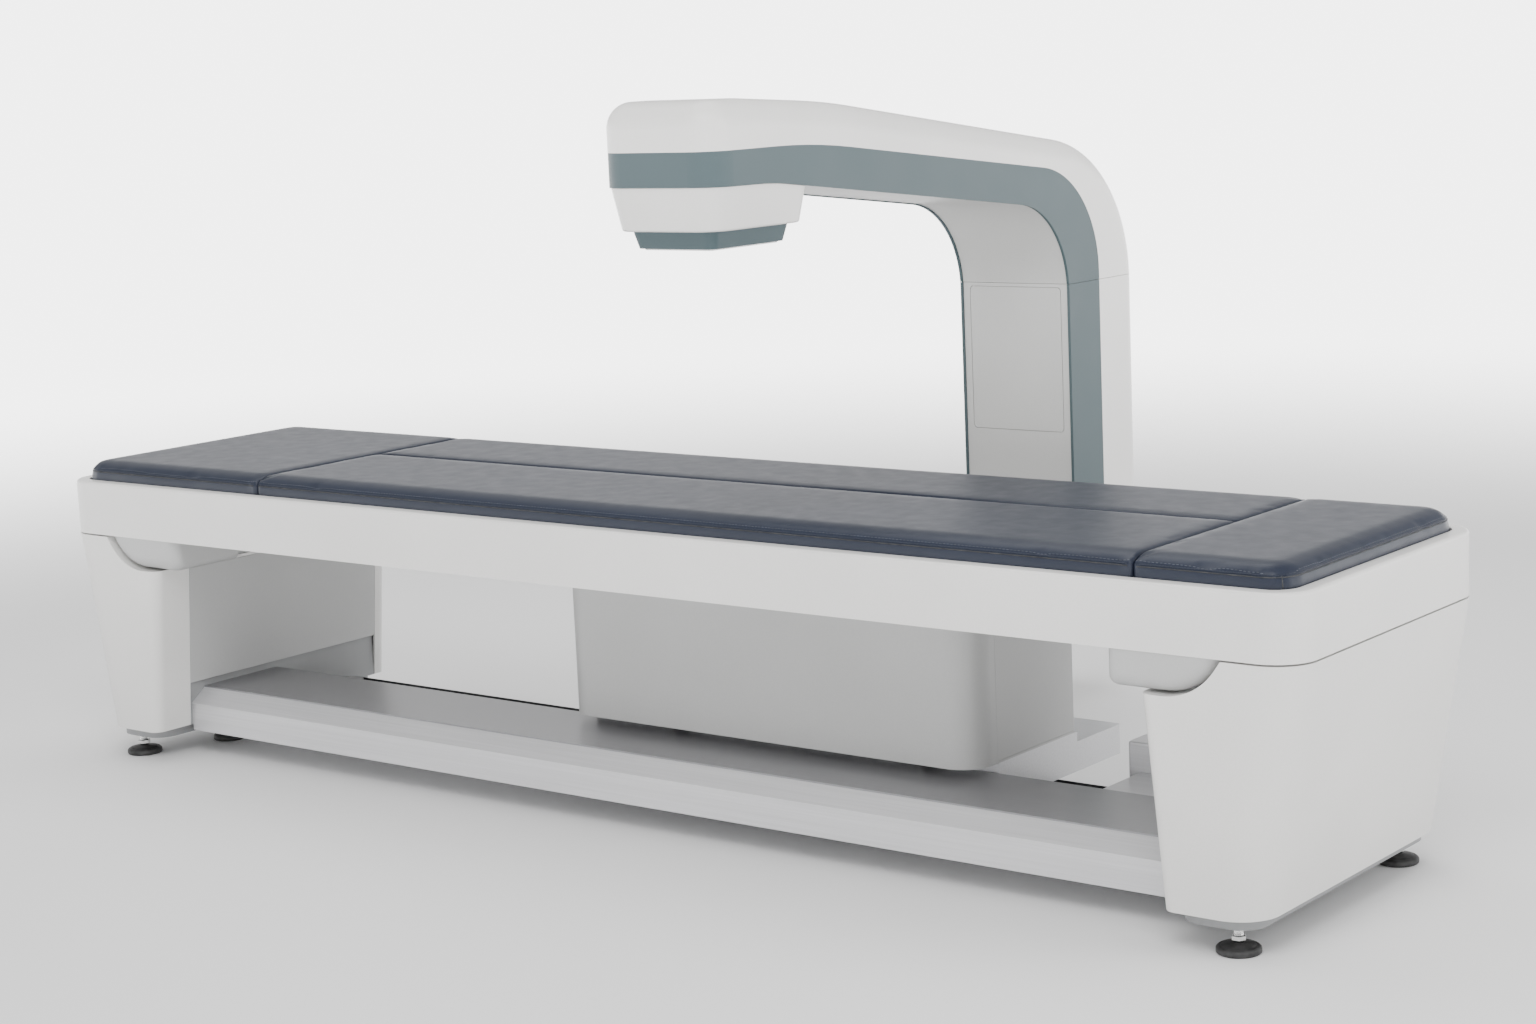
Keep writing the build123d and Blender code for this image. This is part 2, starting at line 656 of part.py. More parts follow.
def screw_nut():
    """Nut round the screw, with the post that reaches up to the bracket."""
    half = NUT_SIZE / 2
    low = SCREW_Z - half
    nut = block((SCREW_X - half, SCREW_X + half), (-half, half), (low, SCREW_Z + half))
    post_x = (SCREW_X - NUT_POST / 2, SCREW_X + NUT_POST / 2)
    foot = CHANNEL_FLOOR + CHANNEL_GAP
    post = block(post_x, (-half, half), (SCREW_Z, foot))
    bore = rod(SCREW_RADIUS + RUNNING_GAP, (SCREW_X, -half - 1, SCREW_Z), (0, 1, 0), NUT_SIZE + 2)
    return (nut + post - bore).solid()


def screw_motor():
    """Geared motor on the rear end of the screw, hung from the top plate."""
    width, length, height = SCREW_MOTOR
    start = SCREW_HALF + SCREW_BEARING + 10
    low = SCREW_Z - height / 2 - 2
    body = block(around(SCREW_X, width), (start, start + length), (low, low + height))
    hanger = block(around(SCREW_X, width - 16), (start - 6, start), (SCREW_Z - 20, PLATE_LOW))
    bore = rod(JOURNAL_RADIUS + RUNNING_GAP, (SCREW_X, SCREW_HALF, SCREW_Z), (0, 1, 0), 40)
    return (body + hanger - bore).solid()


# ---------------------------------------------------------------- beams and drive
def front_beam():
    """Extruded beam with a chamfered top front edge, hollow, with a middle web."""
    low, high = FRONT_BEAM_BOTTOM, BEAM_TOP
    front, back = FRONT_BEAM_FRONT, FRONT_BEAM_BACK
    points = [
        (front, low),
        (back, low),
        (back, high),
        (front + BEAM_CHAMFER_Y, high),
        (front, high - BEAM_CHAMFER_Z),
    ]
    outline = Plane.YZ * Polygon(*points, align=None)
    inner = offset(outline, amount=-BEAM_WALL, kind=Kind.INTERSECTION)
    reach = INNER_FACE_BOTTOM
    beam = side_extrude(outline.face(), (-reach, reach)) - side_extrude(inner.face(), (-reach - 1, reach + 1))
    middle = (front + back) / 2
    web = block((-reach, reach), (middle, middle + BEAM_WALL), (low + BEAM_WALL / 2, high - BEAM_WALL / 2))
    return (beam + web).solid()


def tread():
    """Wear strip along the beam's flat top; the support rollers run on it."""
    reach = INNER_FACE_BOTTOM
    y = (FRONT_BEAM_FRONT + BEAM_CHAMFER_Y, FRONT_BEAM_BACK)
    return block((-reach, reach), y, (BEAM_TOP, TREAD_TOP))


def rear_beam():
    """Low tube that carries the carriage rail."""
    reach = plinth_span()[0]
    y = (REAR_BEAM_Y - REAR_BEAM_WIDTH / 2, REAR_BEAM_Y + REAR_BEAM_WIDTH / 2)
    beam = box_tube((-reach, reach), y, (REAR_BEAM_BOTTOM, REAR_BEAM_TOP), BEAM_WALL, "x")
    for x in (BELT_LEFT, BELT_RIGHT):
        beam = beam - rod(AXLE_RADIUS + AXLE_FIT, (x, REAR_BEAM_Y, REAR_BEAM_TOP - 6), (0, 0, 1), 10)
    return beam.solid()


def carriage_rail():
    """Linear rail along the rear beam, between the pulleys."""
    x = (BELT_LEFT + PULLEY_RADIUS + 6, BELT_RIGHT - PULLEY_RADIUS - 6)
    y = (REAR_BEAM_Y - RAIL_WIDTH / 2, REAR_BEAM_Y + RAIL_WIDTH / 2)
    return block(x, y, (REAR_BEAM_TOP, REAR_BEAM_TOP + RAIL_HEIGHT))


def pulley(x, shaft_top):
    """Flat belt pulley on a shaft that stands in the rear beam's top wall."""
    low = REAR_BEAM_TOP + 1
    wheel = rod(PULLEY_RADIUS, (x, REAR_BEAM_Y, low), (0, 0, 1), PULLEY_HEIGHT)
    shaft = rod(AXLE_RADIUS, (x, REAR_BEAM_Y, REAR_BEAM_TOP - 3), (0, 0, 1), shaft_top - REAR_BEAM_TOP + 3)
    return (wheel + shaft).solid()


def drive_belt():
    """Belt loop round both pulleys, a strand on each side of the rail."""
    inner = PULLEY_RADIUS + 0.3
    outer = inner + BELT_THICKNESS
    length = BELT_RIGHT - BELT_LEFT
    centre = ((BELT_LEFT + BELT_RIGHT) / 2, REAR_BEAM_Y, BELT_LOW)

    def loop(radius):
        return extrude(SlotCenterToCenter(length, 2 * radius), BELT_WIDTH)

    return (loop(outer) - loop(inner)).moved(Location(centre)).solid()


def belt_clamp():
    """Plate that ties the carriage to the belt's front strand."""
    strand = REAR_BEAM_Y - PULLEY_RADIUS - 0.3
    x = around(ARM_X, CLAMP_WIDTH)
    top = SADDLE_BOTTOM + SADDLE_WALL
    body = block(x, (strand - 8, strand + 5), (BELT_LOW - 1, top))
    grip_y = (strand - BELT_THICKNESS - 0.2, strand + 0.2)
    grip = block((x[0] - 1, x[1] + 1), grip_y, (BELT_LOW - 2, BELT_LOW + BELT_WIDTH + 0.5))
    return (body - grip).solid()


def motor_mount():
    """Bridge over the drive pulley."""
    half = REAR_BEAM_WIDTH / 2
    x = (MOTOR_LEFT + 4, MOTOR_LEFT + MOTOR_WIDTH - 4)
    plate = block(x, (REAR_BEAM_Y - half, REAR_BEAM_Y + half), (MOUNT_LOW, MOUNT_LOW + MOUNT_PLATE))
    for y in (REAR_BEAM_Y - half, REAR_BEAM_Y + half - MOUNT_PLATE):
        plate += block(x, (y, y + MOUNT_PLATE), (REAR_BEAM_TOP, MOUNT_LOW))
    plate = plate - rod(AXLE_RADIUS + AXLE_FIT, (BELT_RIGHT, REAR_BEAM_Y, 0), (0, 0, 1), 300)
    return plate.solid()


def drive_motor():
    """Motor that stands on the mount, over the pulley's shaft."""
    low = MOUNT_LOW + MOUNT_PLATE
    plan = (around(BELT_RIGHT, MOTOR_SIZE), around(REAR_BEAM_Y, MOTOR_SIZE))
    body = upright(*plan, (low, low + MOTOR_HEIGHT), 8)
    bore = rod(AXLE_RADIUS + AXLE_FIT, (BELT_RIGHT, REAR_BEAM_Y, low - 1), (0, 0, 1), 22)
    return (body - bore).solid()


def motor_cover():
    """Plain cover over the drive motor."""
    wall = MOTOR_COVER_WALL
    x = (MOTOR_LEFT, MOTOR_LEFT + MOTOR_WIDTH)
    y = around(REAR_BEAM_Y, REAR_BEAM_WIDTH + 4)
    low = MOUNT_LOW + MOUNT_PLATE
    body = upright(x, y, (MOUNT_LOW, MOTOR_COVER_TOP), 6)
    body = fillet(body.edges().group_by(Axis.Z)[-1], 4)
    hollow = block((x[0] + wall, x[1] - wall), (y[0] + wall, y[1] - wall), (0, MOTOR_COVER_TOP - wall))
    seat = block((x[0] + wall, x[1] - wall), (y[0] + 1.9, y[1] - 1.9), (0, low))
    return (body - hollow - seat).solid()


def duct_cover():
    """Shallow cover over the cables between the front beam and the drive."""
    x = (MOTOR_LEFT + 20, INNER_FACE_BOTTOM)
    y = (FRONT_BEAM_BACK, REAR_BEAM_Y - REAR_BEAM_WIDTH / 2 - 3)
    body = block(x, y, (FRONT_BEAM_BOTTOM + 20, TREAD_TOP - 5))
    edges = [e for e in body.edges().group_by(Axis.Z)[-1] if e.center().X < x[0] + 1]
    body = fillet(edges, 5)
    hollow = block((x[0] + 3, x[1] + 1), (y[0] + 3, y[1] - 3), (0, TREAD_TOP - 8))
    return (body - hollow).solid()


# ---------------------------------------------------------------- carriage and source
def saddle():
    """Stepped carriage base, open below, with a rib across the rail."""
    x = (HOUSING_LEFT + 6, HOUSING_RIGHT)
    front = FRONT_BEAM_BACK + 4
    step_y = HOUSING_BACK + 10
    steps = [
        (front, SADDLE_BOTTOM),
        (SADDLE_BACK, SADDLE_BOTTOM),
        (SADDLE_BACK, SADDLE_STEP),
        (step_y, SADDLE_STEP),
        (step_y, HOUSING_BOTTOM),
        (front, HOUSING_BOTTOM),
    ]
    body = side_extrude((Plane.YZ * Polygon(*steps, align=None)).face(), x)
    corners = [e for e in upright_edges(body) if e.center().Y > SADDLE_BACK - 1]
    body = fillet(corners, 8)
    wall = SADDLE_WALL
    inner_x = (x[0] + wall, x[1] - wall)
    hollow = block(inner_x, (front + wall, step_y - wall), (SADDLE_BOTTOM - 1, HOUSING_BOTTOM - wall))
    hollow_y = (front + wall, SADDLE_BACK - wall)
    hollow = hollow + block(inner_x, hollow_y, (SADDLE_BOTTOM - 1, SADDLE_STEP - wall))
    body = body - hollow
    for centre in BEARING_X:
        rib = (around(centre, BLOCK_LENGTH), around(REAR_BEAM_Y, BLOCK_WIDTH))
        body = body + block(*rib, (CARRIAGE_BLOCK_TOP, HOUSING_BOTTOM - wall / 2))
    strand = REAR_BEAM_Y - PULLEY_RADIUS
    clamp_rib = (around(ARM_X, CLAMP_WIDTH), (strand - 8, strand + 5))
    body = body + block(*clamp_rib, (SADDLE_BOTTOM + wall, HOUSING_BOTTOM - wall / 2))
    return body.solid()


def carriage_bearings():
    """Bearing blocks on the carriage rail."""
    places = [(x, REAR_BEAM_Y) for x in BEARING_X]
    return [bearing_block(place, REAR_BEAM_TOP, CARRIAGE_BLOCK_TOP, "x") for place in places]


def roller(x):
    """Support roller that runs on the tread."""
    wheel = rod(ROLLER_RADIUS, (x, ROLLER_Y, ROLLER_Z), (0, 1, 0), ROLLER_WIDTH)
    bore = rod(ROLLER_AXLE + AXLE_FIT, (x, ROLLER_Y - 1, ROLLER_Z), (0, 1, 0), ROLLER_WIDTH + 2)
    return (wheel - bore).solid()


def roller_fork(x):
    """Two cheeks and an axle that hang from the housing floor."""
    gap = (ROLLER_Y - 1, ROLLER_Y + ROLLER_WIDTH + 1)
    cheeks = [(gap[0] - FORK_CHEEK, gap[0]), (gap[1], gap[1] + FORK_CHEEK)]
    ends = (cheeks[0][0], cheeks[1][1])
    axle = rod(ROLLER_AXLE, (x, ends[0], ROLLER_Z), (0, 1, 0), ends[1] - ends[0])
    for cheek in cheeks:
        axle = axle + block(around(x, 10), cheek, (ROLLER_Z - ROLLER_AXLE - 1, HOUSING_BOTTOM))
    return axle.solid()


def housing_body():
    """The source housing's outline, with rounded front corners."""
    body = block((HOUSING_LEFT, HOUSING_RIGHT), (HOUSING_FRONT, HOUSING_BACK), (HOUSING_BOTTOM, HOUSING_TOP))
    front = [e for e in upright_edges(body) if e.center().Y < HOUSING_FRONT + 1]
    return fillet(front, HOUSING_CORNER).solid()


def source_housing():
    """Sheet housing round the source, with a port for the beam and the side panel's opening."""
    wall = HOUSING_WALL
    x = (HOUSING_LEFT + wall, HOUSING_RIGHT - wall)
    y = (HOUSING_FRONT + wall, HOUSING_BACK - wall)
    z = (HOUSING_BOTTOM + wall, HOUSING_TOP - wall)
    hollow = block(x, y, z)
    front = [e for e in upright_edges(hollow) if e.center().Y < y[0] + 1]
    hollow = fillet(front, HOUSING_CORNER - wall)
    panel_y = (HOUSING_FRONT + HOUSING_PANEL_INSET, HOUSING_BACK + 1)
    side = block((HOUSING_RIGHT - wall - 1, HOUSING_RIGHT + 1), panel_y, z)
    port = block(around(ARM_X, BEAM_PORT), around(BEAM_Y, BEAM_PORT), (z[1] - 1, HOUSING_TOP + 1))
    return (housing_body() - hollow - side - port).solid()


def source_side_panel():
    """Removable right side panel of the housing."""
    wall = HOUSING_WALL
    half_gap = PANEL_GAP / 2
    y = (HOUSING_FRONT + HOUSING_PANEL_INSET + half_gap, HOUSING_BACK)
    z = (HOUSING_BOTTOM + wall + half_gap, HOUSING_TOP - wall - half_gap)
    return block((HOUSING_RIGHT - wall, HOUSING_RIGHT), y, z)


def source_tank():
    """Oil-filled tube tank on the housing floor."""
    front = HOUSING_FRONT + HOUSING_WALL + TANK_GAP
    z = (HOUSING_BOTTOM + HOUSING_WALL, TANK_TOP)
    tank = upright(around(ARM_X, TANK_WIDTH), (front, front + TANK_DEPTH), z, 20)
    return fillet(tank.edges().group_by(Axis.Z)[-1], 8).solid()


def collimator():
    """Slotted lead block on top of the tank."""
    x = around(ARM_X, COLLIMATOR_WIDTH)
    y = (BEAM_Y - COLLIMATOR_DEPTH / 2 - 1, BEAM_Y + COLLIMATOR_DEPTH / 2 - 1)
    body = block(x, y, (TANK_TOP, COLLIMATOR_TOP))
    slit = block((x[0] + 8, x[1] - 8), around(BEAM_Y, SLIT_WIDTH), (TANK_TOP - 1, COLLIMATOR_TOP + 1))
    return (body - slit).solid()


def filter_wheel():
    """Six-window filter wheel over the collimator."""
    x, y = WHEEL_AT
    low = COLLIMATOR_TOP + WHEEL_LIFT
    wheel = rod(WHEEL_RADIUS, (x, y, low), (0, 0, 1), WHEEL_THICKNESS)
    wheel = wheel - rod(AXLE_RADIUS + AXLE_FIT, (x, y, low - 1), (0, 0, 1), WHEEL_THICKNESS + 2)
    for i in range(FILTER_COUNT):
        angle = radians(270 + 360 / FILTER_COUNT * i)
        spot = (x + WHEEL_OFFSET * cos(angle), y + WHEEL_OFFSET * sin(angle), low - 1)
        wheel = wheel - rod(WHEEL_WINDOW, spot, (0, 0, 1), WHEEL_THICKNESS + 2)
    return wheel.solid()


def filter_motor():
    """Small motor with the wheel's spindle, standing on the tank."""
    start = (*WHEEL_AT, TANK_TOP)
    wheel_low = COLLIMATOR_TOP + WHEEL_LIFT
    body = rod(FILTER_MOTOR_RADIUS, start, (0, 0, 1), wheel_low - RUNNING_GAP - TANK_TOP)
    spindle = rod(AXLE_RADIUS, start, (0, 0, 1), wheel_low + WHEEL_THICKNESS + 2 - TANK_TOP)
    return (body + spindle).solid()


def shutter():
    """Swinging lead flag above the wheel, on a post beside the collimator."""
    low = COLLIMATOR_TOP + SHUTTER_LIFT
    x, y = SHUTTER_POST
    hub = rod(10, (x, y, low), (0, 0, 1), SHUTTER_THICKNESS)
    arm = block((x, ARM_X), around(y, 12), (low, low + SHUTTER_THICKNESS))
    flag = rod(16, (ARM_X, y, low), (0, 0, 1), SHUTTER_THICKNESS)
    bore = rod(AXLE_RADIUS + AXLE_FIT, (x, y, low - 1), (0, 0, 1), SHUTTER_THICKNESS + 2)
    return (hub + arm + flag - bore).solid()


def shutter_post():
    """Post and solenoid body that swing the shutter."""
    x, y = SHUTTER_POST
    shutter_low = COLLIMATOR_TOP + SHUTTER_LIFT
    body = block((x - 12, x + 8), around(y, 24), (TANK_TOP, shutter_low - RUNNING_GAP))
    pin = rod(AXLE_RADIUS, (x, y, TANK_TOP), (0, 0, 1), shutter_low + SHUTTER_THICKNESS + 2 - TANK_TOP)
    return (body + pin).solid()


# ---------------------------------------------------------------- C-arm
def outer_line(inset=0):
    """The arm's top and back line, from the head's front to the column's foot."""
    top = ARM_TOP_FRONT - inset
    points = [
        (ARM_FRONT + inset, top),
        (ARM_FRONT + ARM_TOP_FLAT, top),
        (ARM_TOP_BREAK[0], ARM_TOP_BREAK[1] - inset),
        (ARM_BACK - inset, ARM_TOP_CORNER - inset),
        (ARM_BACK - inset, ARM_BOTTOM),
    ]
    return points, [ARM_BREAK_RADIUS / 3, ARM_BREAK_RADIUS, ARM_OUTER_RADIUS - inset]


def band_line():
    """The line between the white shell and the trim band."""
    points = [
        (ARM_FRONT - 1, BAND_TOP_FRONT),
        BAND_TOP_BREAK,
        BAND_TOP_CORNER,
        (BAND_TOP_CORNER[0], ARM_BOTTOM),
    ]
    return points, [ARM_BREAK_RADIUS, BAND_TOP_RADIUS]


def throat_line(inset=0, front=ARM_FRONT):
    """The arm's underside and the column's front."""
    points = [
        (front, BAND_BOTTOM_FRONT + inset),
        (BAND_BOTTOM_BREAK[0], BAND_BOTTOM_BREAK[1] + inset),
        (COLUMN_FRONT + inset, THROAT_CORNER + inset),
        (COLUMN_FRONT + inset, ARM_BOTTOM),
    ]
    return points, [ARM_BREAK_RADIUS / 3, THROAT_RADIUS + inset]


def between(upper, lower):
    """Face in Y and Z between two lines that run from the head to the column's foot."""
    with BuildSketch(Plane.YZ) as sketch:
        with BuildLine():
            FilletPolyline(*upper[0], radius=upper[1])
            Line(upper[0][-1], lower[0][-1])
            FilletPolyline(*lower[0], radius=lower[1])
            Line(lower[0][0], upper[0][0])
        make_face()
    return sketch.sketch.face()


def plan_prism(inset):
    """Tall prism of the arm's plan, with the head's rounded front corners."""
    body = block((ARM_LEFT + inset, ARM_RIGHT - inset), (ARM_FRONT + inset, ARM_BACK + 50), (0, 2000))
    front = [e for e in upright_edges(body) if e.center().Y < ARM_FRONT + inset + 1]
    return fillet(front, HEAD_CORNER - inset).solid()


def arm_envelope(inset):
    """The C-arm's outside, or its hollow when inset, with crowned upper edges."""
    wide = (ARM_LEFT + inset, ARM_RIGHT - inset)
    low = throat_line(-1 if inset else 0, ARM_FRONT + inset)
    body = side_extrude(between(outer_line(inset), low), wide)
    front = [e for e in upright_edges(body) if e.center().Y < ARM_FRONT + inset + 1]
    body = fillet(front, HEAD_CORNER - inset).solid()
    top_of_band = Vector(*band_line()[0][1])

    def on_top(edge):
        middle = edge.center()
        if abs(edge.tangent_at(0.5).Z) > 0.9 and middle.Y < ARM_FRONT + 2 * HEAD_CORNER:
            return False
        along = abs(edge.tangent_at(0.5).X) < 0.9 or middle.Y < ARM_FRONT + 2 * HEAD_CORNER
        slope = (BAND_TOP_CORNER[1] - top_of_band.Y) / (BAND_TOP_CORNER[0] - top_of_band.X)
        line_z = top_of_band.Y + slope * max(middle.Y - top_of_band.X, 0)
        outside = middle.Z > line_z or middle.Y > BAND_TOP_CORNER[0] + 20
        return along and outside and middle.Z > ARM_BOTTOM + 10

    crown = [e for e in body.edges() if on_top(e)]
    return fillet(crown, CROWN_RADIUS - inset).solid()


def above(z):
    """Everything of the arm's width above a height."""
    return block((ARM_LEFT - 10, ARM_RIGHT + 10), (ARM_FRONT - 10, ARM_BACK + 10), (z, 2000))


def below(z):
    """Everything of the arm's width below a height."""
    return block((ARM_LEFT - 10, ARM_RIGHT + 10), (ARM_FRONT - 10, ARM_BACK + 10), (0, z))


def c_arm_skins():
    """Outer shells and trim bands, cut from one envelope at the band line and the seam."""
    outside = arm_envelope(0)
    hollow = arm_envelope(ARM_SKIN)
    wide = (ARM_LEFT - 1, ARM_RIGHT + 1)
    band_prism = side_extrude(between(band_line(), throat_line(-60, ARM_FRONT - 1)), wide)
    white = outside - hollow - band_prism
    band = (outside & band_prism) - plan_prism(BAND_THICKNESS)
    upper = above(ARM_SEAM + SEAM_GAP / 2)
    lower = below(ARM_SEAM - SEAM_GAP / 2)
    foot_y = (LOWER_ARM_END + SPINE_COVER_GAP, ARM_BACK - ARM_SKIN / 2)
    foot = block(LINER_X, foot_y, (ARM_BOTTOM, ARM_BOTTOM + ARM_SKIN))
    return {
        "arm_shell": [(white & upper).solid()],
        "column_shell": [((white & lower) + foot).solid()],
        "arm_band": [(band & upper).solid()],
        "column_bands": (band & lower).solids(),
    }


def arm_liner():
    """Grey liner on the arm's underside, from the head to the seam."""
    strip = side_extrude(between(throat_line(LINER_DEPTH[1]), throat_line(LINER_DEPTH[0])), LINER_X)
    limit = block(LINER_X, (HEAD_BACK + 2, ARM_BACK), (ARM_SEAM + SEAM_GAP / 2, 2000))
    return (strip & limit).solid()


def door_outline(grow, y):
    """The door's outline through y, larger by grow all round."""
    x = (ARM_LEFT + DOOR_INSET - grow, ARM_RIGHT - DOOR_INSET + grow)
    z = (DOOR_BOTTOM - grow, DOOR_TOP + grow)
    plate = block(x, y, z)
    corners = [e for e in plate.edges() if abs(e.tangent_at(0.5).Y) > 0.9]
    return fillet(corners, max(DOOR_CORNER + grow, 2)).solid()


def column_panel():
    """Column front panel with the opening for the access door and a rebate behind it."""
    panel = block(LINER_X, PANEL_Y, (ARM_BOTTOM, ARM_SEAM - SEAM_GAP / 2))
    spine_x = around(ARM_X, SPINE_WIDTH + 2 * SPINE_COVER_GAP)
    panel = panel - block(spine_x, (0, ARM_BACK), (0, LOWER_ARM_TOP - SPINE_INSET + SPINE_COVER_GAP))
    rim_y = (PANEL_Y[1], PANEL_Y[1] + DOOR_REBATE)
    rim = block((LINER_X[0] + 4, LINER_X[1] - 4), rim_y, (DOOR_BOTTOM - 14, DOOR_TOP + 5))
    panel = panel + rim - door_outline(DOOR_GAP, (PANEL_Y[0] - 1, PANEL_Y[1]))
    return (panel - door_outline(-DOOR_CORNER, (PANEL_Y[0] - 1, rim_y[1] + 1))).solid()


def access_door():
    """Flush door that lies in the panel's rebate."""
    return door_outline(0, PANEL_Y)


def arm_spine():
    """Welded box spine through the arm and column, down to the lower arm."""
    wall = SPINE_WALL
    under = SPINE_INSET - 10
    core = side_extrude(between(outer_line(SPINE_INSET), throat_line(under)), SPINE_X)
    inner_face = between(outer_line(SPINE_INSET + wall), throat_line(under + wall))
    inner = side_extrude(inner_face, (SPINE_X[0] + wall, SPINE_X[1] - wall))
    limit = block(SPINE_X, (HEAD_BACK, ARM_BACK), (ARM_BOTTOM + 20, 2000))
    upper = (core - inner) & limit
    lower_y = (HOUSING_BACK + 14, LOWER_ARM_END)
    lower = box_tube(SPINE_X, lower_y, (SADDLE_STEP, LOWER_ARM_TOP - SPINE_INSET), wall, "y")
    return (upper + lower).solid()


def lower_arm_cover():
    """Cover round the lower arm, between the housing and the column."""
    wall = LOWER_ARM_WALL
    y = (HOUSING_BACK + LOWER_ARM_GAP, COLUMN_FRONT - LOWER_ARM_GAP)
    z = (SADDLE_STEP + 2, LOWER_ARM_TOP)
    body = block(LOWER_X, y, z)
    body = fillet([e for e in body.edges() if abs(e.tangent_at(0.5).Y) > 0.9], LOWER_ARM_CORNER)
    through = (y[0] - 1, y[1] + 1)
    hollow = block((LOWER_X[0] + wall, LOWER_X[1] - wall), through, (z[0] + wall, z[1] - wall))
    edges = [e for e in hollow.edges() if abs(e.tangent_at(0.5).Y) > 0.9]
    hollow = fillet(edges, LOWER_ARM_CORNER - wall)
    spine_x = around(ARM_X, SPINE_WIDTH + 2 * SPINE_COVER_GAP)
    floor_cut = block(spine_x, through, (0, z[0] + wall + 1))
    step_gap = block((LOWER_X[0] - 1, LOWER_X[1] + 1), (y[0] - 1, HOUSING_BACK + 11), (0, HOUSING_BOTTOM + 1))
    return (body - hollow - floor_cut - step_gap).solid()


# ---------------------------------------------------------------- head
def head_block():
    """White lower housing of the head, tapered, open above."""
    wall = HEAD_WALL
    corner = HEAD_CORNER - HEAD_INSET
    outer = tapered(HEAD_X, HEAD_Y, (HEAD_LOW, HEAD_TOP), corner, HEAD_BLOCK_TAPER)
    outer = fillet(outer.edges().group_by(Axis.Z)[0], 5).solid()
    inner_x = (HEAD_X[0] + wall, HEAD_X[1] - wall)
    inner_y = (HEAD_Y[0] + wall, HEAD_Y[1] - wall)
    inner = tapered(inner_x, inner_y, (HEAD_LOW + wall, HEAD_TOP + wall), corner - wall, HEAD_BLOCK_TAPER)
    above_line = between(outer_line(), throat_line(-HEAD_GAP))
    under_arm = side_extrude(above_line, (HEAD_X[0] - 1, HEAD_X[1] + 1))
    port = block(around(ARM_X, HEAD_PORT), around(BEAM_Y, HEAD_PORT), (HEAD_LOW - 1, HEAD_LOW + wall + 1))
    return (outer - inner - under_arm - port).solid()


def sensor_cover():
    """Tapered trim block below the head, hollow, with the window's opening."""
    outer = tapered(SENSOR_X, SENSOR_Y, (SENSOR_LOW, HEAD_LOW), 20, SENSOR_TAPER)
    inner_x = (SENSOR_X[0] + 4, SENSOR_X[1] - 4)
    inner_y = (SENSOR_Y[0] + 4, SENSOR_Y[1] - 4)
    inner = tapered(inner_x, inner_y, (SENSOR_LOW + 4, HEAD_LOW + 1), 16, SENSOR_TAPER)
    port = block(WINDOW_X, WINDOW_Y, (SENSOR_LOW - 1, SENSOR_LOW + 5))
    return (outer - inner - port).solid()


def head_window():
    """Pale window under the sensor cover."""
    x = (WINDOW_X[0] - WINDOW_LAP, WINDOW_X[1] + WINDOW_LAP)
    y = (WINDOW_Y[0] - WINDOW_LAP, WINDOW_Y[1] + WINDOW_LAP)
    return upright(x, y, (SENSOR_LOW - WINDOW_THICKNESS, SENSOR_LOW), 6)


def detector_array():
    """Detector bar and its board, hung from the spine's end."""
    board_z = (HEAD_LOW + 34, HEAD_LOW + 46)
    bar_y = around(BEAM_Y, DETECTOR_SIZE)
    bar = block(around(ARM_X, DETECTOR_SIZE), bar_y, (HEAD_LOW - 16, board_z[0]))
    board_y = (BEAM_Y - DETECTOR_BOARD / 2 - 20, BEAM_Y + DETECTOR_BOARD / 2 - 20)
    board = block(around(ARM_X, DETECTOR_BOARD), board_y, board_z)
    neck_top = BAND_TOP_FRONT - 8
    post = block(around(ARM_X, 40), around(BEAM_Y, 40), (board_z[1], neck_top))
    neck = block(around(ARM_X, 40), (BEAM_Y, HEAD_BACK - 8), (neck_top - 20, neck_top))
    flange_z = (neck_top - 30, neck_top + 30)
    flange = block(around(ARM_X, DETECTOR_BOARD), (HEAD_BACK - 8, HEAD_BACK), flange_z)
    return (bar + board + post + neck + flange).solid()


def laser_module():
    """Positioning laser beside the detector."""
    x = (ARM_X + DETECTOR_SIZE / 2 + 8, ARM_X + DETECTOR_SIZE / 2 + 30)
    return block(x, around(BEAM_Y, 46), (HEAD_LOW + HEAD_WALL, HEAD_LOW + 34))


# ---------------------------------------------------------------- electrics
def unit_on_plinth(size, middle):
    """A closed case beside the frame's posts; size is its width and height."""
    width, height = size
    inner = FRAME_INNER + FRAME_TUBE + 1
    return block((inner, inner + UNIT_DEPTH), around(middle, width), (PLINTH_TOP, PLINTH_TOP + height))


def inlet_hole():
    """The hole for the inlet in the right pedestal's back wall."""
    width, height = INLET_HOLE
    return block(around(INLET_X, width), (HALF_WIDTH - 30, HALF_WIDTH + 5), around(INLET_Z, height))


def mains_inlet():
    """Flanged three-pin inlet in the right pedestal's back."""
    back = HALF_WIDTH
    flange_y = (back, back + INLET_FLANGE[2])
    flange = block(around(INLET_X, INLET_FLANGE[0]), flange_y, around(INLET_Z, INLET_FLANGE[1]))
    body = block(around(INLET_X, INLET_BODY[0]), (back - INLET_BODY[2], back), around(INLET_Z, INLET_BODY[1]))
    socket_y = (back - INLET_SOCKET[2], back + 5)
    socket = block(around(INLET_X, INLET_SOCKET[0]), socket_y, around(INLET_Z, INLET_SOCKET[1]))
    return (flange + body - socket).solid()


# ---------------------------------------------------------------- write the pieces
keep("table_tray", table_tray())
keep("table_board", table_board())
for name, solid in cushions().items():
    keep(name, solid)
keep("table_stretchers", *table_stretchers())
keep("table_brackets", *both_sides(table_bracket()))
keep("table_bearing_blocks", *both_sides(bearing_block((RAIL_X, 0), CHANNEL_FLOOR, BLOCK_TOP, "y")))
keep("screw_nut", screw_nut())
keep("table_screw", table_screw())
keep("screw_drive", *screw_bearings(), screw_motor())

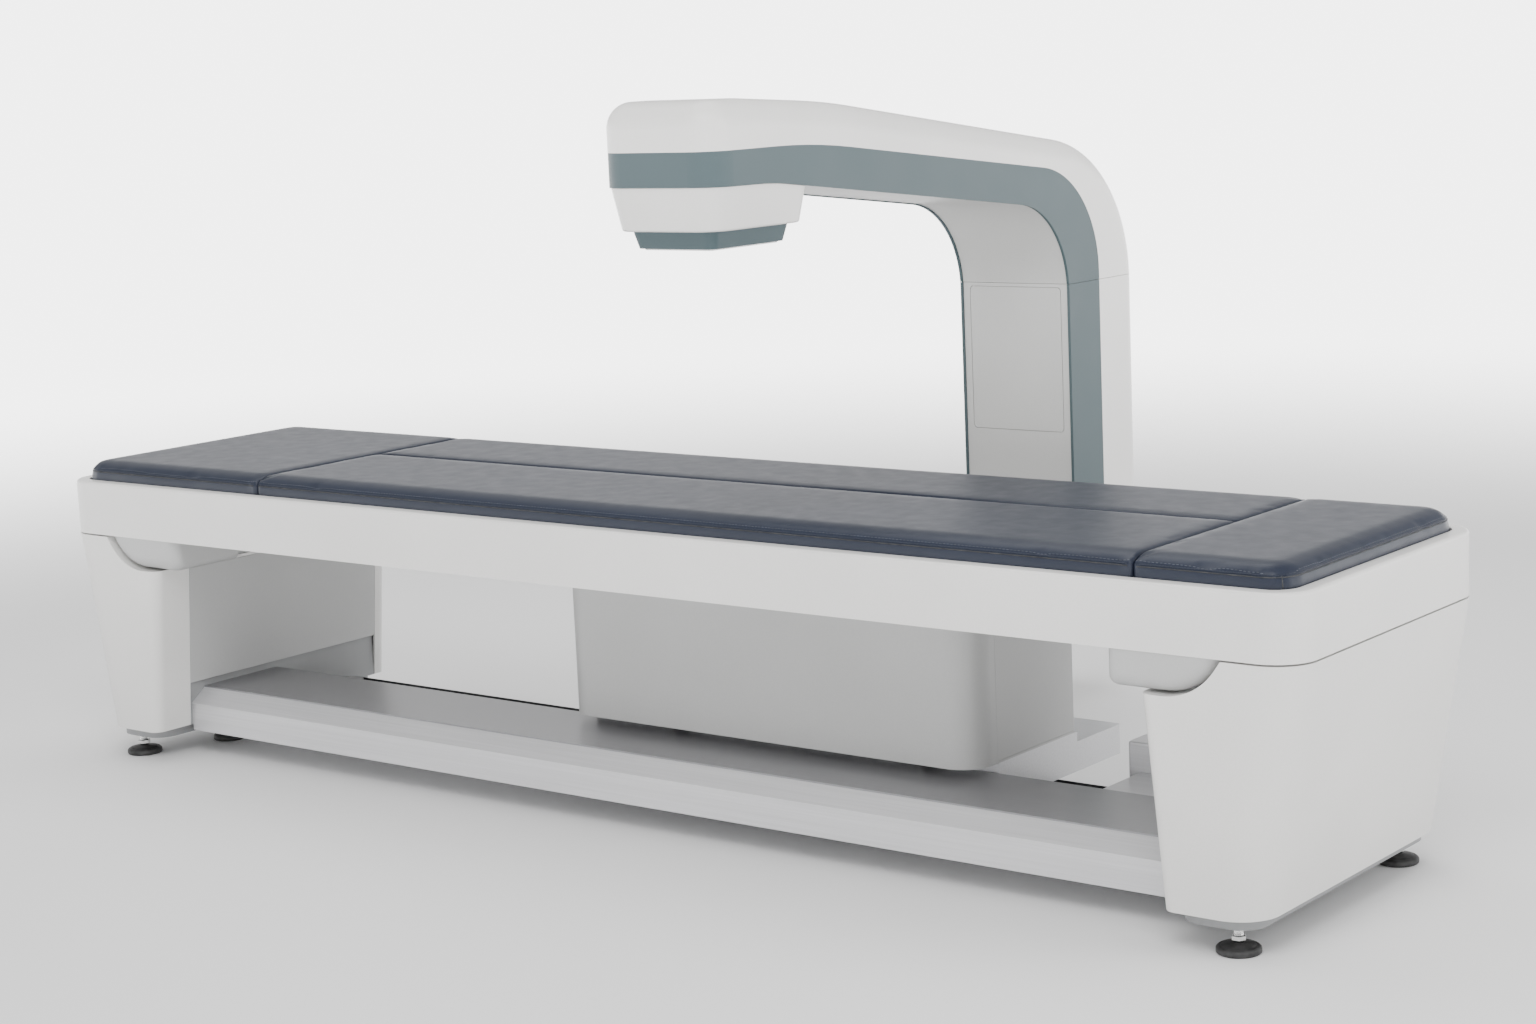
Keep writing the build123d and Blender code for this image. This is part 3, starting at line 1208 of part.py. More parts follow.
shell_left, shell_right = both_sides(pedestal_shell())
keep("pedestal_shell_left", shell_left)
keep("pedestal_shell_right", (shell_right - inlet_hole()).solid())
keep("pedestal_panels", *both_sides(side_panel()))
keep("pedestal_frames", *both_sides(pedestal_frame()))
keep("plinths", *both_sides(plinth()))
for corner, place in feet_places().items():
    pads = both_sides(foot_pad(place))
    stems = both_sides(foot_stem(place))
    for side, pad, stem in zip(("left", "right"), pads, stems):
        keep(f"foot_{corner}_{side}", pad, stem)

keep("front_beam", front_beam())
keep("front_tread", tread())
keep("rear_beam", rear_beam())
keep("linear_rails", carriage_rail(), *both_sides(table_rail()))
keep("idle_pulley", pulley(BELT_LEFT, REAR_BEAM_TOP + 14))
keep("drive_pulley", pulley(BELT_RIGHT, MOUNT_LOW + MOUNT_PLATE + 16))
keep("drive_belt", drive_belt())
keep("drive_motor", motor_mount(), drive_motor())
keep("motor_cover", motor_cover())
keep("duct_cover", duct_cover())

keep("carriage_saddle", saddle())
keep("carriage_bearings", *carriage_bearings())
keep("carriage_fittings", belt_clamp(), *[roller_fork(x) for x in ROLLER_X])
keep("roller_left", roller(ROLLER_X[0]))
keep("roller_right", roller(ROLLER_X[1]))
keep("source_housing", source_housing())
keep("source_side_panel", source_side_panel())
keep("source_tank", source_tank())
keep("collimator", collimator())
keep("filter_drive", filter_motor(), shutter_post())
keep("filter_wheel", filter_wheel())
keep("shutter", shutter())

for name, solids in c_arm_skins().items():
    keep(name, *solids)
keep("arm_liner", arm_liner())
keep("column_panel", column_panel())
keep("access_door", access_door())
keep("arm_spine", arm_spine())
keep("lower_arm_cover", lower_arm_cover())
keep("head_block", head_block())
keep("sensor_cover", sensor_cover())
keep("head_window", head_window())
keep("detector_unit", detector_array(), laser_module())

supply = unit_on_plinth(SUPPLY_SIZE, 0)
control = mirror(unit_on_plinth(CONTROL_SIZE, 20), about=Plane.YZ).solid()
keep("electronics_units", supply, control)
keep("mains_inlet", mains_inlet())
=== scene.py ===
"""Looks of the bone densitometer: camera, light, materials, upholstery and small details.

Metres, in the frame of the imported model.  +X runs along the table, +Y to the back.
"""

from math import cos, pi, radians, sin, tau

import bpy
from mathutils import Matrix, Vector
from mathutils.bvhtree import BVHTree


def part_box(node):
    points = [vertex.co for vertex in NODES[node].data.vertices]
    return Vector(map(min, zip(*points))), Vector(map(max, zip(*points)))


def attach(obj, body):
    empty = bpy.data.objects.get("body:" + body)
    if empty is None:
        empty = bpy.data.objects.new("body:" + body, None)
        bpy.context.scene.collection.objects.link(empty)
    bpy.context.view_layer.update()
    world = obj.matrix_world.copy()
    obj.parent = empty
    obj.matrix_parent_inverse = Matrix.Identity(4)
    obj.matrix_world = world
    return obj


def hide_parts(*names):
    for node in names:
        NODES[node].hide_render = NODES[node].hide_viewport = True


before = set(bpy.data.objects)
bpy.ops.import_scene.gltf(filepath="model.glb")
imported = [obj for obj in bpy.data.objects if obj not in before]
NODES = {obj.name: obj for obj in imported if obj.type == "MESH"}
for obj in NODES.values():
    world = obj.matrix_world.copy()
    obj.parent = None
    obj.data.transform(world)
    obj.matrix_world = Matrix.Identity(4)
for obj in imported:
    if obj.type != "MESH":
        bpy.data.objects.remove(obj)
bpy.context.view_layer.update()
COLLECTION = bpy.context.scene.collection

# ------------------------------------------------------------------ camera, floor and light
CAMERA_AT = (3.265, -4.3145, 1.378)
CAMERA_YAW = 38.4
CAMERA_PITCH = -9.4
CAMERA_ROLL = -2.5
CAMERA_LENS = 66.2
SKY_LIGHT = 0.9
HORIZON_LIGHT = 5.0
FLOOR_SOLID = 2.4
FLOOR_END = 7.5


def add_camera():
    """Camera from the front right, a little above the table, with the horizon slightly tilted."""
    yaw, pitch, roll = (radians(a) for a in (CAMERA_YAW, CAMERA_PITCH, CAMERA_ROLL))
    forward = Vector((-sin(yaw) * cos(pitch), cos(yaw) * cos(pitch), sin(pitch)))
    right = forward.cross(Vector((0, 0, 1))).normalized()
    up = right.cross(forward)
    x_axis = cos(roll) * right + sin(roll) * up
    y_axis = cos(roll) * up - sin(roll) * right
    data = bpy.data.cameras.new("Camera")
    data.lens = CAMERA_LENS
    data.sensor_width = 36
    data.clip_end = 100
    camera = bpy.data.objects.new("Camera", data)
    turn = Matrix((x_axis, y_axis, -forward)).transposed().to_4x4()
    camera.matrix_world = Matrix.Translation(CAMERA_AT) @ turn
    COLLECTION.objects.link(camera)
    bpy.context.scene.camera = camera


def add_area_light(name, place, target, size, power, colour=(1, 1, 1)):
    """Large soft area light that points at a target."""
    data = bpy.data.lights.new(name, "AREA")
    data.shape = "RECTANGLE"
    data.size, data.size_y = size
    data.energy = power
    data.color = colour
    light = bpy.data.objects.new(name, data)
    light.location = place
    direction = Vector(target) - Vector(place)
    light.rotation_euler = direction.to_track_quat("-Z", "Y").to_euler()
    COLLECTION.objects.link(light)


def add_studio():
    """Pale floor, pale surroundings and three soft lights."""
    bpy.ops.mesh.primitive_plane_add(size=60, location=(0, 0, 0))
    floor = bpy.context.object
    floor.name = "floor"
    floor.data.materials.append(floor_material())
    world = bpy.data.worlds.new("Studio")
    world.use_nodes = True
    nodes, links = world.node_tree.nodes, world.node_tree.links
    nodes["Background"].inputs["Color"].default_value = (1, 1, 1, 1)
    split = nodes.new("ShaderNodeSeparateXYZ")
    links.new(nodes.new("ShaderNodeTexCoord").outputs["Generated"], split.inputs[0])
    glow = nodes.new("ShaderNodeMapRange")
    glow.inputs["From Min"].default_value = 0.04
    glow.inputs["From Max"].default_value = 0.16
    glow.inputs["To Min"].default_value = HORIZON_LIGHT
    glow.inputs["To Max"].default_value = SKY_LIGHT
    links.new(split.outputs["Z"], glow.inputs["Value"])
    links.new(glow.outputs["Result"], nodes["Background"].inputs["Strength"])
    bpy.context.scene.world = world
    add_area_light("key", (2.2, -3.6, 4.4), (0.2, 0, 0.5), (3.2, 2.4), 150)
    add_area_light("side", (5.0, 0.6, 2.2), (0.6, 0, 0.5), (2.4, 2.4), 60)
    add_area_light("top", (-1.0, 0.4, 4.8), (0, 0, 0.6), (4.0, 2.6), 90)


# ------------------------------------------------------------------ materials
class Surface:
    """A Principled material with object-space helpers for colour and bump."""

    def __init__(self, name, roughness, metallic=0.0, coat=0.0, coat_roughness=0.1, sheen=0.0, ior=1.5):
        self.material = bpy.data.materials.new(name)
        self.material.use_nodes = True
        self.nodes = self.material.node_tree.nodes
        self.links = self.material.node_tree.links
        self.shader = self.nodes["Principled BSDF"]
        self.shader.inputs["Roughness"].default_value = roughness
        self.shader.inputs["Metallic"].default_value = metallic
        self.shader.inputs["Coat Weight"].default_value = coat
        self.shader.inputs["Coat Roughness"].default_value = coat_roughness
        self.shader.inputs["Sheen Weight"].default_value = sheen
        self.shader.inputs["IOR"].default_value = ior
        self.place = self.nodes.new("ShaderNodeTexCoord").outputs["Object"]
        self.height = None

    def stretch(self, scale):
        """Object coordinates scaled per axis."""
        mapping = self.nodes.new("ShaderNodeMapping")
        mapping.inputs["Scale"].default_value = scale
        self.links.new(self.place, mapping.inputs["Vector"])
        return mapping.outputs["Vector"]

    def noise(self, scale, detail=3.0, stretch=None):
        node = self.nodes.new("ShaderNodeTexNoise")
        node.inputs["Scale"].default_value = scale
        node.inputs["Detail"].default_value = detail
        source = self.place if stretch is None else self.stretch(stretch)
        self.links.new(source, node.inputs["Vector"])
        return node.outputs["Fac"]

    def cells(self, scale, feature="F1"):
        node = self.nodes.new("ShaderNodeTexVoronoi")
        node.feature = feature
        node.inputs["Scale"].default_value = scale
        self.links.new(self.place, node.inputs["Vector"])
        return node.outputs["Distance"]

    def ramp(self, value, stops):
        """Colours or grey levels over a value; stops are (position, colour)."""
        node = self.nodes.new("ShaderNodeValToRGB")
        elements = node.color_ramp.elements
        while len(elements) < len(stops):
            elements.new(0.5)
        for element, (position, colour) in zip(elements, stops):
            element.position = position
            element.color = (*colour, 1) if len(colour) == 3 else colour
        self.links.new(value, node.inputs["Fac"])
        return node.outputs["Color"]

    def mix(self, factor, first, second, kind="MIX"):
        node = self.nodes.new("ShaderNodeMix")
        node.data_type = "RGBA"
        node.blend_type = kind
        for key, value in ((0, factor), (6, first), (7, second)):
            if isinstance(value, bpy.types.NodeSocket):
                self.links.new(value, node.inputs[key])
            elif key == 0:
                node.inputs[0].default_value = value
            else:
                node.inputs[key].default_value = (*value, 1)
        return node.outputs[2]

    def maths(self, operation, first, second):
        node = self.nodes.new("ShaderNodeMath")
        node.operation = operation
        for key, value in ((0, first), (1, second)):
            if isinstance(value, bpy.types.NodeSocket):
                self.links.new(value, node.inputs[key])
            else:
                node.inputs[key].default_value = value
        return node.outputs[0]

    def worn_edges(self, spread=0.012):
        """1 on edges and corners, 0 on flat faces, from the angle a bevel would turn."""
        bevel = self.nodes.new("ShaderNodeBevel")
        bevel.samples = 4
        bevel.inputs["Radius"].default_value = spread
        geometry = self.nodes.new("ShaderNodeNewGeometry")
        dot = self.nodes.new("ShaderNodeVectorMath")
        dot.operation = "DOT_PRODUCT"
        self.links.new(bevel.outputs["Normal"], dot.inputs[0])
        self.links.new(geometry.outputs["Normal"], dot.inputs[1])
        return self.maths("SUBTRACT", 1.0, dot.outputs["Value"])

    def colour(self, value):
        self.links.new(value, self.shader.inputs["Base Color"])

    def roughness(self, value, low, high):
        node = self.nodes.new("ShaderNodeMapRange")
        node.inputs["To Min"].default_value = low
        node.inputs["To Max"].default_value = high
        self.links.new(value, node.inputs["Value"])
        self.links.new(node.outputs["Result"], self.shader.inputs["Roughness"])

    def bump(self, value, strength, distance):
        node = self.nodes.new("ShaderNodeBump")
        node.inputs["Strength"].default_value = strength
        node.inputs["Distance"].default_value = distance
        self.links.new(value, node.inputs["Height"])
        if self.height is not None:
            self.links.new(self.height, node.inputs["Normal"])
        self.height = node.outputs["Normal"]
        self.links.new(self.height, self.shader.inputs["Normal"])


def shade(colour, factor):
    return tuple(min(c * factor, 1) for c in colour)


def moulded(name, colour, roughness=0.36, grain=0.25, coat=0.15, ior=1.5):
    """Painted or moulded plastic: faint mottling and fine orange peel."""
    surface = Surface(name, roughness, coat=coat, coat_roughness=0.25, ior=ior)
    tones = [(0.35, shade(colour, 0.965)), (0.65, shade(colour, 1.02))]
    mottle = surface.ramp(surface.noise(3.5, 4), tones)
    speck = surface.ramp(surface.noise(420, 2), [(0.42, (0.97, 0.97, 0.97)), (0.58, (1, 1, 1))])
    blended = surface.mix(1.0, mottle, speck, "MULTIPLY")
    surface.colour(blended)
    surface.roughness(surface.noise(14, 4), roughness - 0.05, roughness + 0.08)
    surface.bump(surface.noise(900, 2), grain, 0.00006)
    surface.bump(surface.noise(6, 2), 0.12, 0.0012)
    return surface.material


def brushed(name, colour, roughness=0.34, stretch=(3, 260, 260), streak=0.06):
    """Satin anodised metal with fine streaks along one axis."""
    surface = Surface(name, roughness, metallic=0.35)
    lines = surface.noise(1.0, 5, stretch=stretch)
    cloud = surface.noise(2.2, 3)
    base = surface.ramp(lines, [(0.3, shade(colour, 1 - streak)), (0.7, shade(colour, 1 + streak))])
    tone = surface.ramp(cloud, [(0.3, (0.95, 0.95, 0.955)), (0.7, (1, 1, 1))])
    surface.colour(surface.mix(1.0, base, tone, "MULTIPLY"))
    surface.roughness(lines, roughness - 0.05, roughness + 0.1)
    surface.bump(lines, 0.18, 0.00008)
    return surface.material


def leatherette(name, colour):
    """Fine-grained upholstery vinyl with pebbled cells, pores and soft handling marks."""
    surface = Surface(name, 0.45, coat=0.02, coat_roughness=0.35, ior=1.34)
    grain = surface.cells(520, "SMOOTH_F1")
    creases = surface.cells(190, "DISTANCE_TO_EDGE")
    cloud = surface.noise(4.5, 5)
    base = surface.ramp(cloud, [(0.3, shade(colour, 0.93)), (0.7, shade(colour, 1.07))])
    pores = surface.ramp(grain, [(0.05, (0.86, 0.86, 0.87)), (0.5, (1, 1, 1))])
    surface.colour(surface.mix(1.0, base, pores, "MULTIPLY"))
    surface.roughness(surface.noise(30, 4), 0.33, 0.47)
    surface.bump(creases, 0.22, 0.0002)
    surface.bump(grain, 0.35, 0.00018)
    surface.bump(surface.noise(9, 3), 0.3, 0.0016)
    return surface.material


DUST = (0.05, 0.05, 0.05)


def rubber(name, colour=(0.012, 0.012, 0.012), roughness=0.6):
    """Matt rubber with a dusty bloom."""
    surface = Surface(name, roughness)
    cloud = surface.noise(60, 5)
    surface.colour(surface.ramp(cloud, [(0.35, colour), (0.75, DUST)]))
    surface.bump(surface.noise(700, 2), 0.3, 0.0001)
    return surface.material


def plated(name, colour=(0.72, 0.72, 0.71), roughness=0.16):
    """Plated steel with faint turning marks."""
    surface = Surface(name, roughness, metallic=1.0)
    rings = surface.noise(1.0, 3, stretch=(40, 40, 900))
    surface.colour(surface.ramp(rings, [(0.3, shade(colour, 0.9)), (0.7, shade(colour, 1.05))]))
    surface.roughness(rings, roughness - 0.04, roughness + 0.12)
    surface.bump(rings, 0.1, 0.00005)
    return surface.material


def cast(name, colour, roughness=0.55):
    """Painted casting or powder coat with a pebbled skin."""
    surface = Surface(name, roughness)
    cloud = surface.noise(8, 5)
    surface.colour(surface.ramp(cloud, [(0.3, shade(colour, 0.9)), (0.7, shade(colour, 1.06))]))
    surface.bump(surface.noise(500, 3), 0.4, 0.00018)
    return surface.material


def floor_material():
    """Pale matt studio floor that fades into the white surroundings."""
    surface = Surface("studio_floor", 0.8)
    length = surface.nodes.new("ShaderNodeVectorMath")
    length.operation = "LENGTH"
    surface.links.new(surface.place, length.inputs[0])
    fade = surface.nodes.new("ShaderNodeMapRange")
    fade.interpolation_type = "SMOOTHSTEP"
    fade.inputs["From Min"].default_value = FLOOR_SOLID
    fade.inputs["From Max"].default_value = FLOOR_END
    surface.links.new(length.outputs["Value"], fade.inputs["Value"])
    blend = surface.nodes.new("ShaderNodeMixShader")
    surface.links.new(fade.outputs["Result"], blend.inputs[0])
    surface.links.new(surface.shader.outputs[0], blend.inputs[1])
    surface.links.new(surface.nodes.new("ShaderNodeBsdfTransparent").outputs[0], blend.inputs[2])
    surface.links.new(blend.outputs[0], surface.nodes["Material Output"].inputs["Surface"])
    tones = [(0.3, (0.86, 0.86, 0.86)), (0.7, (0.88, 0.88, 0.88))]
    surface.colour(surface.ramp(surface.noise(0.6, 2), tones))
    return surface.material


WHITE = (0.73, 0.722, 0.705)
GREY = (0.43, 0.432, 0.43)
PANEL_GREY = (0.52, 0.52, 0.51)
TEAL = (0.06, 0.088, 0.097)
SLATE = (0.0135, 0.0185, 0.034)
SILVER = (0.62, 0.62, 0.635)
# Darker copy of the beam metal for the beam's top (the tread): painted reflection of the dark table
# underside.
SILVER_PAINTED_DARK_REFLECTION = (0.25, 0.25, 0.262)

MATERIALS = {
    "white": moulded("white_shell", WHITE),
    "grey": moulded("grey_panel", GREY, 0.4),
    "panel": moulded("column_panel", PANEL_GREY, 0.4),
    "teal": moulded("trim_band", TEAL, 0.46, coat=0.0, ior=1.35),
    "leather": leatherette("slate_leatherette", SLATE),
    "silver": brushed("beam_metal", SILVER),
    # Same brushed metal as the beam, darker: painted dark reflection on the beam's top.
    "tread": brushed("tread_strip", SILVER_PAINTED_DARK_REFLECTION, 0.3, streak=0.09),
    "steel": plated("rail_steel", (0.5, 0.5, 0.5), 0.3),
    "chrome": plated("plated_steel"),
    "rubber": rubber("foot_rubber"),
    "cast": cast("frame_paint", (0.28, 0.285, 0.29)),
    "plinth": cast("plinth_paint", (0.26, 0.265, 0.27), 0.45),
    "black": cast("motor_black", (0.02, 0.02, 0.022), 0.5),
    "tank": cast("tank_paint", (0.36, 0.37, 0.38)),
    "lead": cast("lead_alloy", (0.2, 0.2, 0.215)),
    "board": cast("board_laminate", (0.06, 0.06, 0.065)),
    "thread": rubber("seam_thread", (0.10, 0.11, 0.14), 0.7),
    # Near-black tube colour at the cushion seams: painted shade in the seam crease.
    "painted_crease_shade": rubber("seam_crease_painted_shade", (0.012, 0.014, 0.02), 0.7),
    "window": moulded("pale_window", (0.62, 0.64, 0.64), 0.3),
}

NODE_MATERIALS = {
    "white": (
        "pedestal_shell_left", "pedestal_shell_right", "table_tray",
        "arm_shell", "column_shell", "head_block",
    ),
    "grey": ("pedestal_panels", "table_brackets", "source_housing", "source_side_panel", "lower_arm_cover"),
    "panel": ("arm_liner", "column_panel", "access_door"),
    "teal": ("arm_band", "column_bands", "sensor_cover"),
    "silver": ("front_beam", "carriage_saddle", "duct_cover", "motor_cover"),
    "tread": ("front_tread",),
    "steel": (
        "linear_rails", "table_bearing_blocks", "carriage_bearings", "carriage_fittings",
        "table_screw", "idle_pulley", "drive_pulley", "screw_nut", "screw_drive",
    ),
    "rubber": ("roller_left", "roller_right", "drive_belt"),
    "cast": ("pedestal_frames", "arm_spine", "table_stretchers", "rear_beam"),
    "plinth": ("plinths",),
    "black": ("drive_motor", "filter_drive", "mains_inlet"),
    "tank": ("source_tank", "electronics_units", "detector_unit"),
    "lead": ("collimator", "filter_wheel", "shutter"),
    "board": ("table_board",),
    "window": ("head_window",),
}


def paint_nodes():
    """Give each CAD node its material."""
    for key, names in NODE_MATERIALS.items():
        for name in names:
            node = NODES[name]
            node.data.materials.clear()
            node.data.materials.append(MATERIALS[key])


# ------------------------------------------------------------------ mesh helpers
def add_piece(name, verts, faces, material, body, slot=None, smooth=True):
    """A mesh piece in place, with its material, riding on a body."""
    mesh = bpy.data.meshes.new(name)
    mesh.from_pydata([tuple(v) for v in verts], [], faces)
    mesh.update()
    piece = bpy.data.objects.new(name, mesh)
    COLLECTION.objects.link(piece)
    mesh.materials.append(MATERIALS[material])
    if smooth:
        mesh.polygons.foreach_set("use_smooth", [True] * len(mesh.polygons))
    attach(piece, body)
    return piece


def lathe(profile, centre, steps=48):
    """Vertices and faces of a profile of (radius, height) turned about Z."""
    verts = []
    for radius, height in profile:
        for i in range(steps):
            angle = tau * i / steps
            x, y = radius * cos(angle), radius * sin(angle)
            verts.append((centre[0] + x, centre[1] + y, centre[2] + height))
    faces = []
    for ring in range(len(profile) - 1):
        for i in range(steps):
            j = (i + 1) % steps
            low, high = ring * steps, (ring + 1) * steps
            faces.append((low + i, low + j, high + j, high + i))
    faces.append(tuple(reversed(range(steps))))
    faces.append(tuple(range((len(profile) - 1) * steps, len(profile) * steps)))
    return verts, faces


# ------------------------------------------------------------------ upholstery
SHOULDER = 0.034
SHOULDER_DROP = 0.012
SEAM_EDGE = 0.0022
SEAM_SOFTNESS = 0.022
SEAM_LIFT = 0.7
RING_STEP = 0.012
RING_SPACING = 0.02
VOXEL = 0.0065
CLOTH_PRESSURE = 4.0
CLOTH_FRAMES = 20
SKIRT = (0.016, 0.012)
CAP_UP = 0.005
CAP_SIDE = 0.003
TRIM_MARGIN = 0.004
STITCH_PITCH = 0.007
STITCH_LENGTH = 0.0045
CUSHIONS = ("cushion_left_end", "cushion_right_end", "cushion_front", "cushion_rear")


def mattress_box():
    """The box round all four cushions."""
    lows, highs = zip(*(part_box(name) for name in CUSHIONS))
    low = tuple(min(c[k] for c in lows) for k in range(3))
    high = tuple(max(c[k] for c in highs) for k in range(3))
    return low, high


MATTRESS_LOW, MATTRESS_HIGH = mattress_box()
MATTRESS_CORNER = 0.044


def edge_distance(x, y):
    """How far a point lies inside the mattress's rounded outline."""
    middle = ((MATTRESS_LOW[0] + MATTRESS_HIGH[0]) / 2, (MATTRESS_LOW[1] + MATTRESS_HIGH[1]) / 2)
    half = ((MATTRESS_HIGH[0] - MATTRESS_LOW[0]) / 2, (MATTRESS_HIGH[1] - MATTRESS_LOW[1]) / 2)
    across = abs(x - middle[0]) - half[0] + MATTRESS_CORNER
    along = abs(y - middle[1]) - half[1] + MATTRESS_CORNER
    outside = (max(across, 0) ** 2 + max(along, 0) ** 2) ** 0.5
    return MATTRESS_CORNER - outside - min(max(across, along), 0)


def top_height(x, y):
    """Height of the mattress's top: level inside, rolled down along the outer edge."""
    inside = max(edge_distance(x, y), 0)
    roll = max(1 - inside / SHOULDER, 0)
    return MATTRESS_HIGH[2] - CAP_UP - SHOULDER_DROP * roll ** 2


def rounded_rectangle(low, high, corners, step):
    """Points round a rectangle in X and Y, with a radius for each corner (SW, SE, NE, NW)."""
    places = [
        (low[0] + corners[0], low[1] + corners[0], 180, corners[0]),
        (high[0] - corners[1], low[1] + corners[1], 270, corners[1]),
        (high[0] - corners[2], high[1] - corners[2], 0, corners[2]),
        (low[0] + corners[3], high[1] - corners[3], 90, corners[3]),
    ]
    corner_points = []
    for x, y, start, radius in places:
        count = max(3, int(radius * pi / 2 / step))
        for i in range(count + 1):
            angle = radians(start + 90 * i / count)
            corner_points.append((x + radius * cos(angle), y + radius * sin(angle)))
    points = []
    for i, start in enumerate(corner_points):
        end = corner_points[(i + 1) % len(corner_points)]
        length = ((end[0] - start[0]) ** 2 + (end[1] - start[1]) ** 2) ** 0.5
        count = max(1, round(length / step))
        for k in range(count):
            along = k / count
            points.append((start[0] + (end[0] - start[0]) * along, start[1] + (end[1] - start[1]) * along))
    return points


def cushion_form(low, high):
    """Closed form of a cushion a little under its size: flat base, straight sides, rolled top."""
    def radius(x, y):
        return MATTRESS_CORNER if edge_distance(x, y) < 0 else 0.006

    corners = (
        radius(low[0] + 0.001, low[1] + 0.001),
        radius(high[0] - 0.001, low[1] + 0.001),
        radius(high[0] - 0.001, high[1] - 0.001),
        radius(low[0] + 0.001, high[1] - 0.001),
    )

    def ring(inset, height):
        small = tuple(max(r - inset, 0.002) for r in corners)
        inner_low = (low[0] + inset, low[1] + inset)
        inner_high = (high[0] - inset, high[1] - inset)
        outline = rounded_rectangle(inner_low, inner_high, small, RING_SPACING)
        return [(x, y, height(x, y)) for x, y in outline]

    base = low[2]
    rings = [
        ring(0.004, lambda x, y: base),
        ring(0.0005, lambda x, y: base + 0.004),
        ring(0.0005, lambda x, y: top_height(x, y) - SEAM_EDGE),
        ring(SEAM_EDGE, top_height),
    ]
    inset = SEAM_EDGE + RING_STEP
    narrow = min(high[0] - low[0], high[1] - low[1]) / 2
    while inset < min(SHOULDER + RING_STEP, narrow - RING_SPACING):
        rings.append(ring(inset, top_height))
        inset += RING_STEP
    return rings


def bridge(rings):
    """Faces between rings that may hold different numbers of points, with flat ends."""
    verts, faces, starts = [], [], []
    for points in rings:
        starts.append(len(verts))
        verts += points
    for a in range(len(rings) - 1):
        lower, upper = rings[a], rings[a + 1]
        i = j = 0
        while i < len(lower) or j < len(upper):
            low_a = starts[a] + i % len(lower)
            high_a = starts[a + 1] + j % len(upper)
            if j >= len(upper) or (i < len(lower) and (i + 1) / len(lower) <= (j + 1) / len(upper)):
                faces.append((low_a, starts[a] + (i + 1) % len(lower), high_a))
                i += 1
            else:
                faces.append((low_a, starts[a + 1] + (j + 1) % len(upper), high_a))
                j += 1
    faces.append(tuple(reversed(range(starts[0], starts[0] + len(rings[0])))))
    faces.append(tuple(range(starts[-1], starts[-1] + len(rings[-1]))))
    return verts, faces


def activate(piece):
    bpy.ops.object.select_all(action="DESELECT")
    piece.select_set(True)
    bpy.context.view_layer.objects.active = piece


def apply_modifier(piece, modifier):
    activate(piece)
    bpy.ops.object.modifier_apply(modifier=modifier.name)


def remesh(piece, voxel):
    modifier = piece.modifiers.new("remesh", "REMESH")
    modifier.mode = "VOXEL"
    modifier.voxel_size = voxel
    apply_modifier(piece, modifier)


def seam_distance(x, y, low, high):
    """Distance to the nearest side that meets another cushion."""
    gaps = [1.0]
    for value, k in ((x, 0), (y, 1)):
        if low[k] > MATTRESS_LOW[k] + 1e-6:
            gaps.append(value - low[k])
        if high[k] < MATTRESS_HIGH[k] - 1e-6:
            gaps.append(high[k] - value)
    return max(min(gaps), 0)


def inflate(piece, low, high):
    """Swell a pad with cloth pressure, then hold each point within its cap and its neighbours."""
    start = [v.co.copy() for v in piece.data.vertices]
    base = low[2]
    cloth = piece.modifiers.new("cloth", "CLOTH")
    cloth.settings.use_pressure = True
    cloth.settings.uniform_pressure_force = CLOTH_PRESSURE
    cloth.settings.effector_weights.gravity = 0
    cloth.settings.quality = 4
    cloth.collision_settings.use_collision = False
    cloth.point_cache.frame_end = CLOTH_FRAMES
    scene = bpy.context.scene
    for step in range(1, CLOTH_FRAMES + 1):
        scene.frame_set(step)
    swollen = piece.evaluated_get(bpy.context.evaluated_depsgraph_get()).data
    moved = [v.co.copy() for v in swollen.vertices]
    piece.modifiers.remove(cloth)
    scene.frame_set(1)
    for vertex, first, last in zip(piece.data.vertices, start, moved):
        free = min(max((first.z - base - SKIRT[0]) / SKIRT[1], 0), 1)
        inside = min(seam_distance(first.x, first.y, low, high) / SEAM_SOFTNESS, 1)
        shift = last - first
        up = (SEAM_LIFT + (1 - SEAM_LIFT) * inside) * min(max(shift.z, 0), CAP_UP) * free
        up = max(up, (1 - inside) * SEAM_LIFT * CAP_UP * free)
        x = min(max(shift.x, -CAP_SIDE), CAP_SIDE) * free * inside
        y = min(max(shift.y, -CAP_SIDE), CAP_SIDE) * free * inside
        vertex.co = (
            clamp_side(first.x, x, low[0], high[0], MATTRESS_LOW[0], MATTRESS_HIGH[0]),
            clamp_side(first.y, y, low[1], high[1], MATTRESS_LOW[1], MATTRESS_HIGH[1]),
            first.z + up,
        )


def clamp_side(value, shift, low, high, outer_low, outer_high):
    """A moved coordinate that crosses no seam and leaves the outline only by the cap."""
    least = low - (CAP_SIDE if low <= outer_low + 1e-6 else 0)
    most = high + (CAP_SIDE if high >= outer_high - 1e-6 else 0)
    return min(max(value + shift, least), most)


def add_cushion(node):
    """One upholstered cushion in place of its plain CAD solid."""
    low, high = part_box(node)
    verts, faces = bridge(cushion_form(low, high))
    piece = add_piece(node + "_cover", verts, faces, "leather", "table", "leatherette")
    remesh(piece, VOXEL)
    settle(piece, BVHTree.FromPolygons(verts, faces))
    inflate(piece, low, high)
    relax(piece, 2, low, high)
    piece.data.polygons.foreach_set("use_smooth", [True] * len(piece.data.polygons))
    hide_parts(node)
    return piece


def settle(piece, form):
    """Bring the remesh's points back onto the sharp form it was made from."""
    for vertex in piece.data.vertices:
        vertex.co = form.find_nearest(vertex.co)[0]


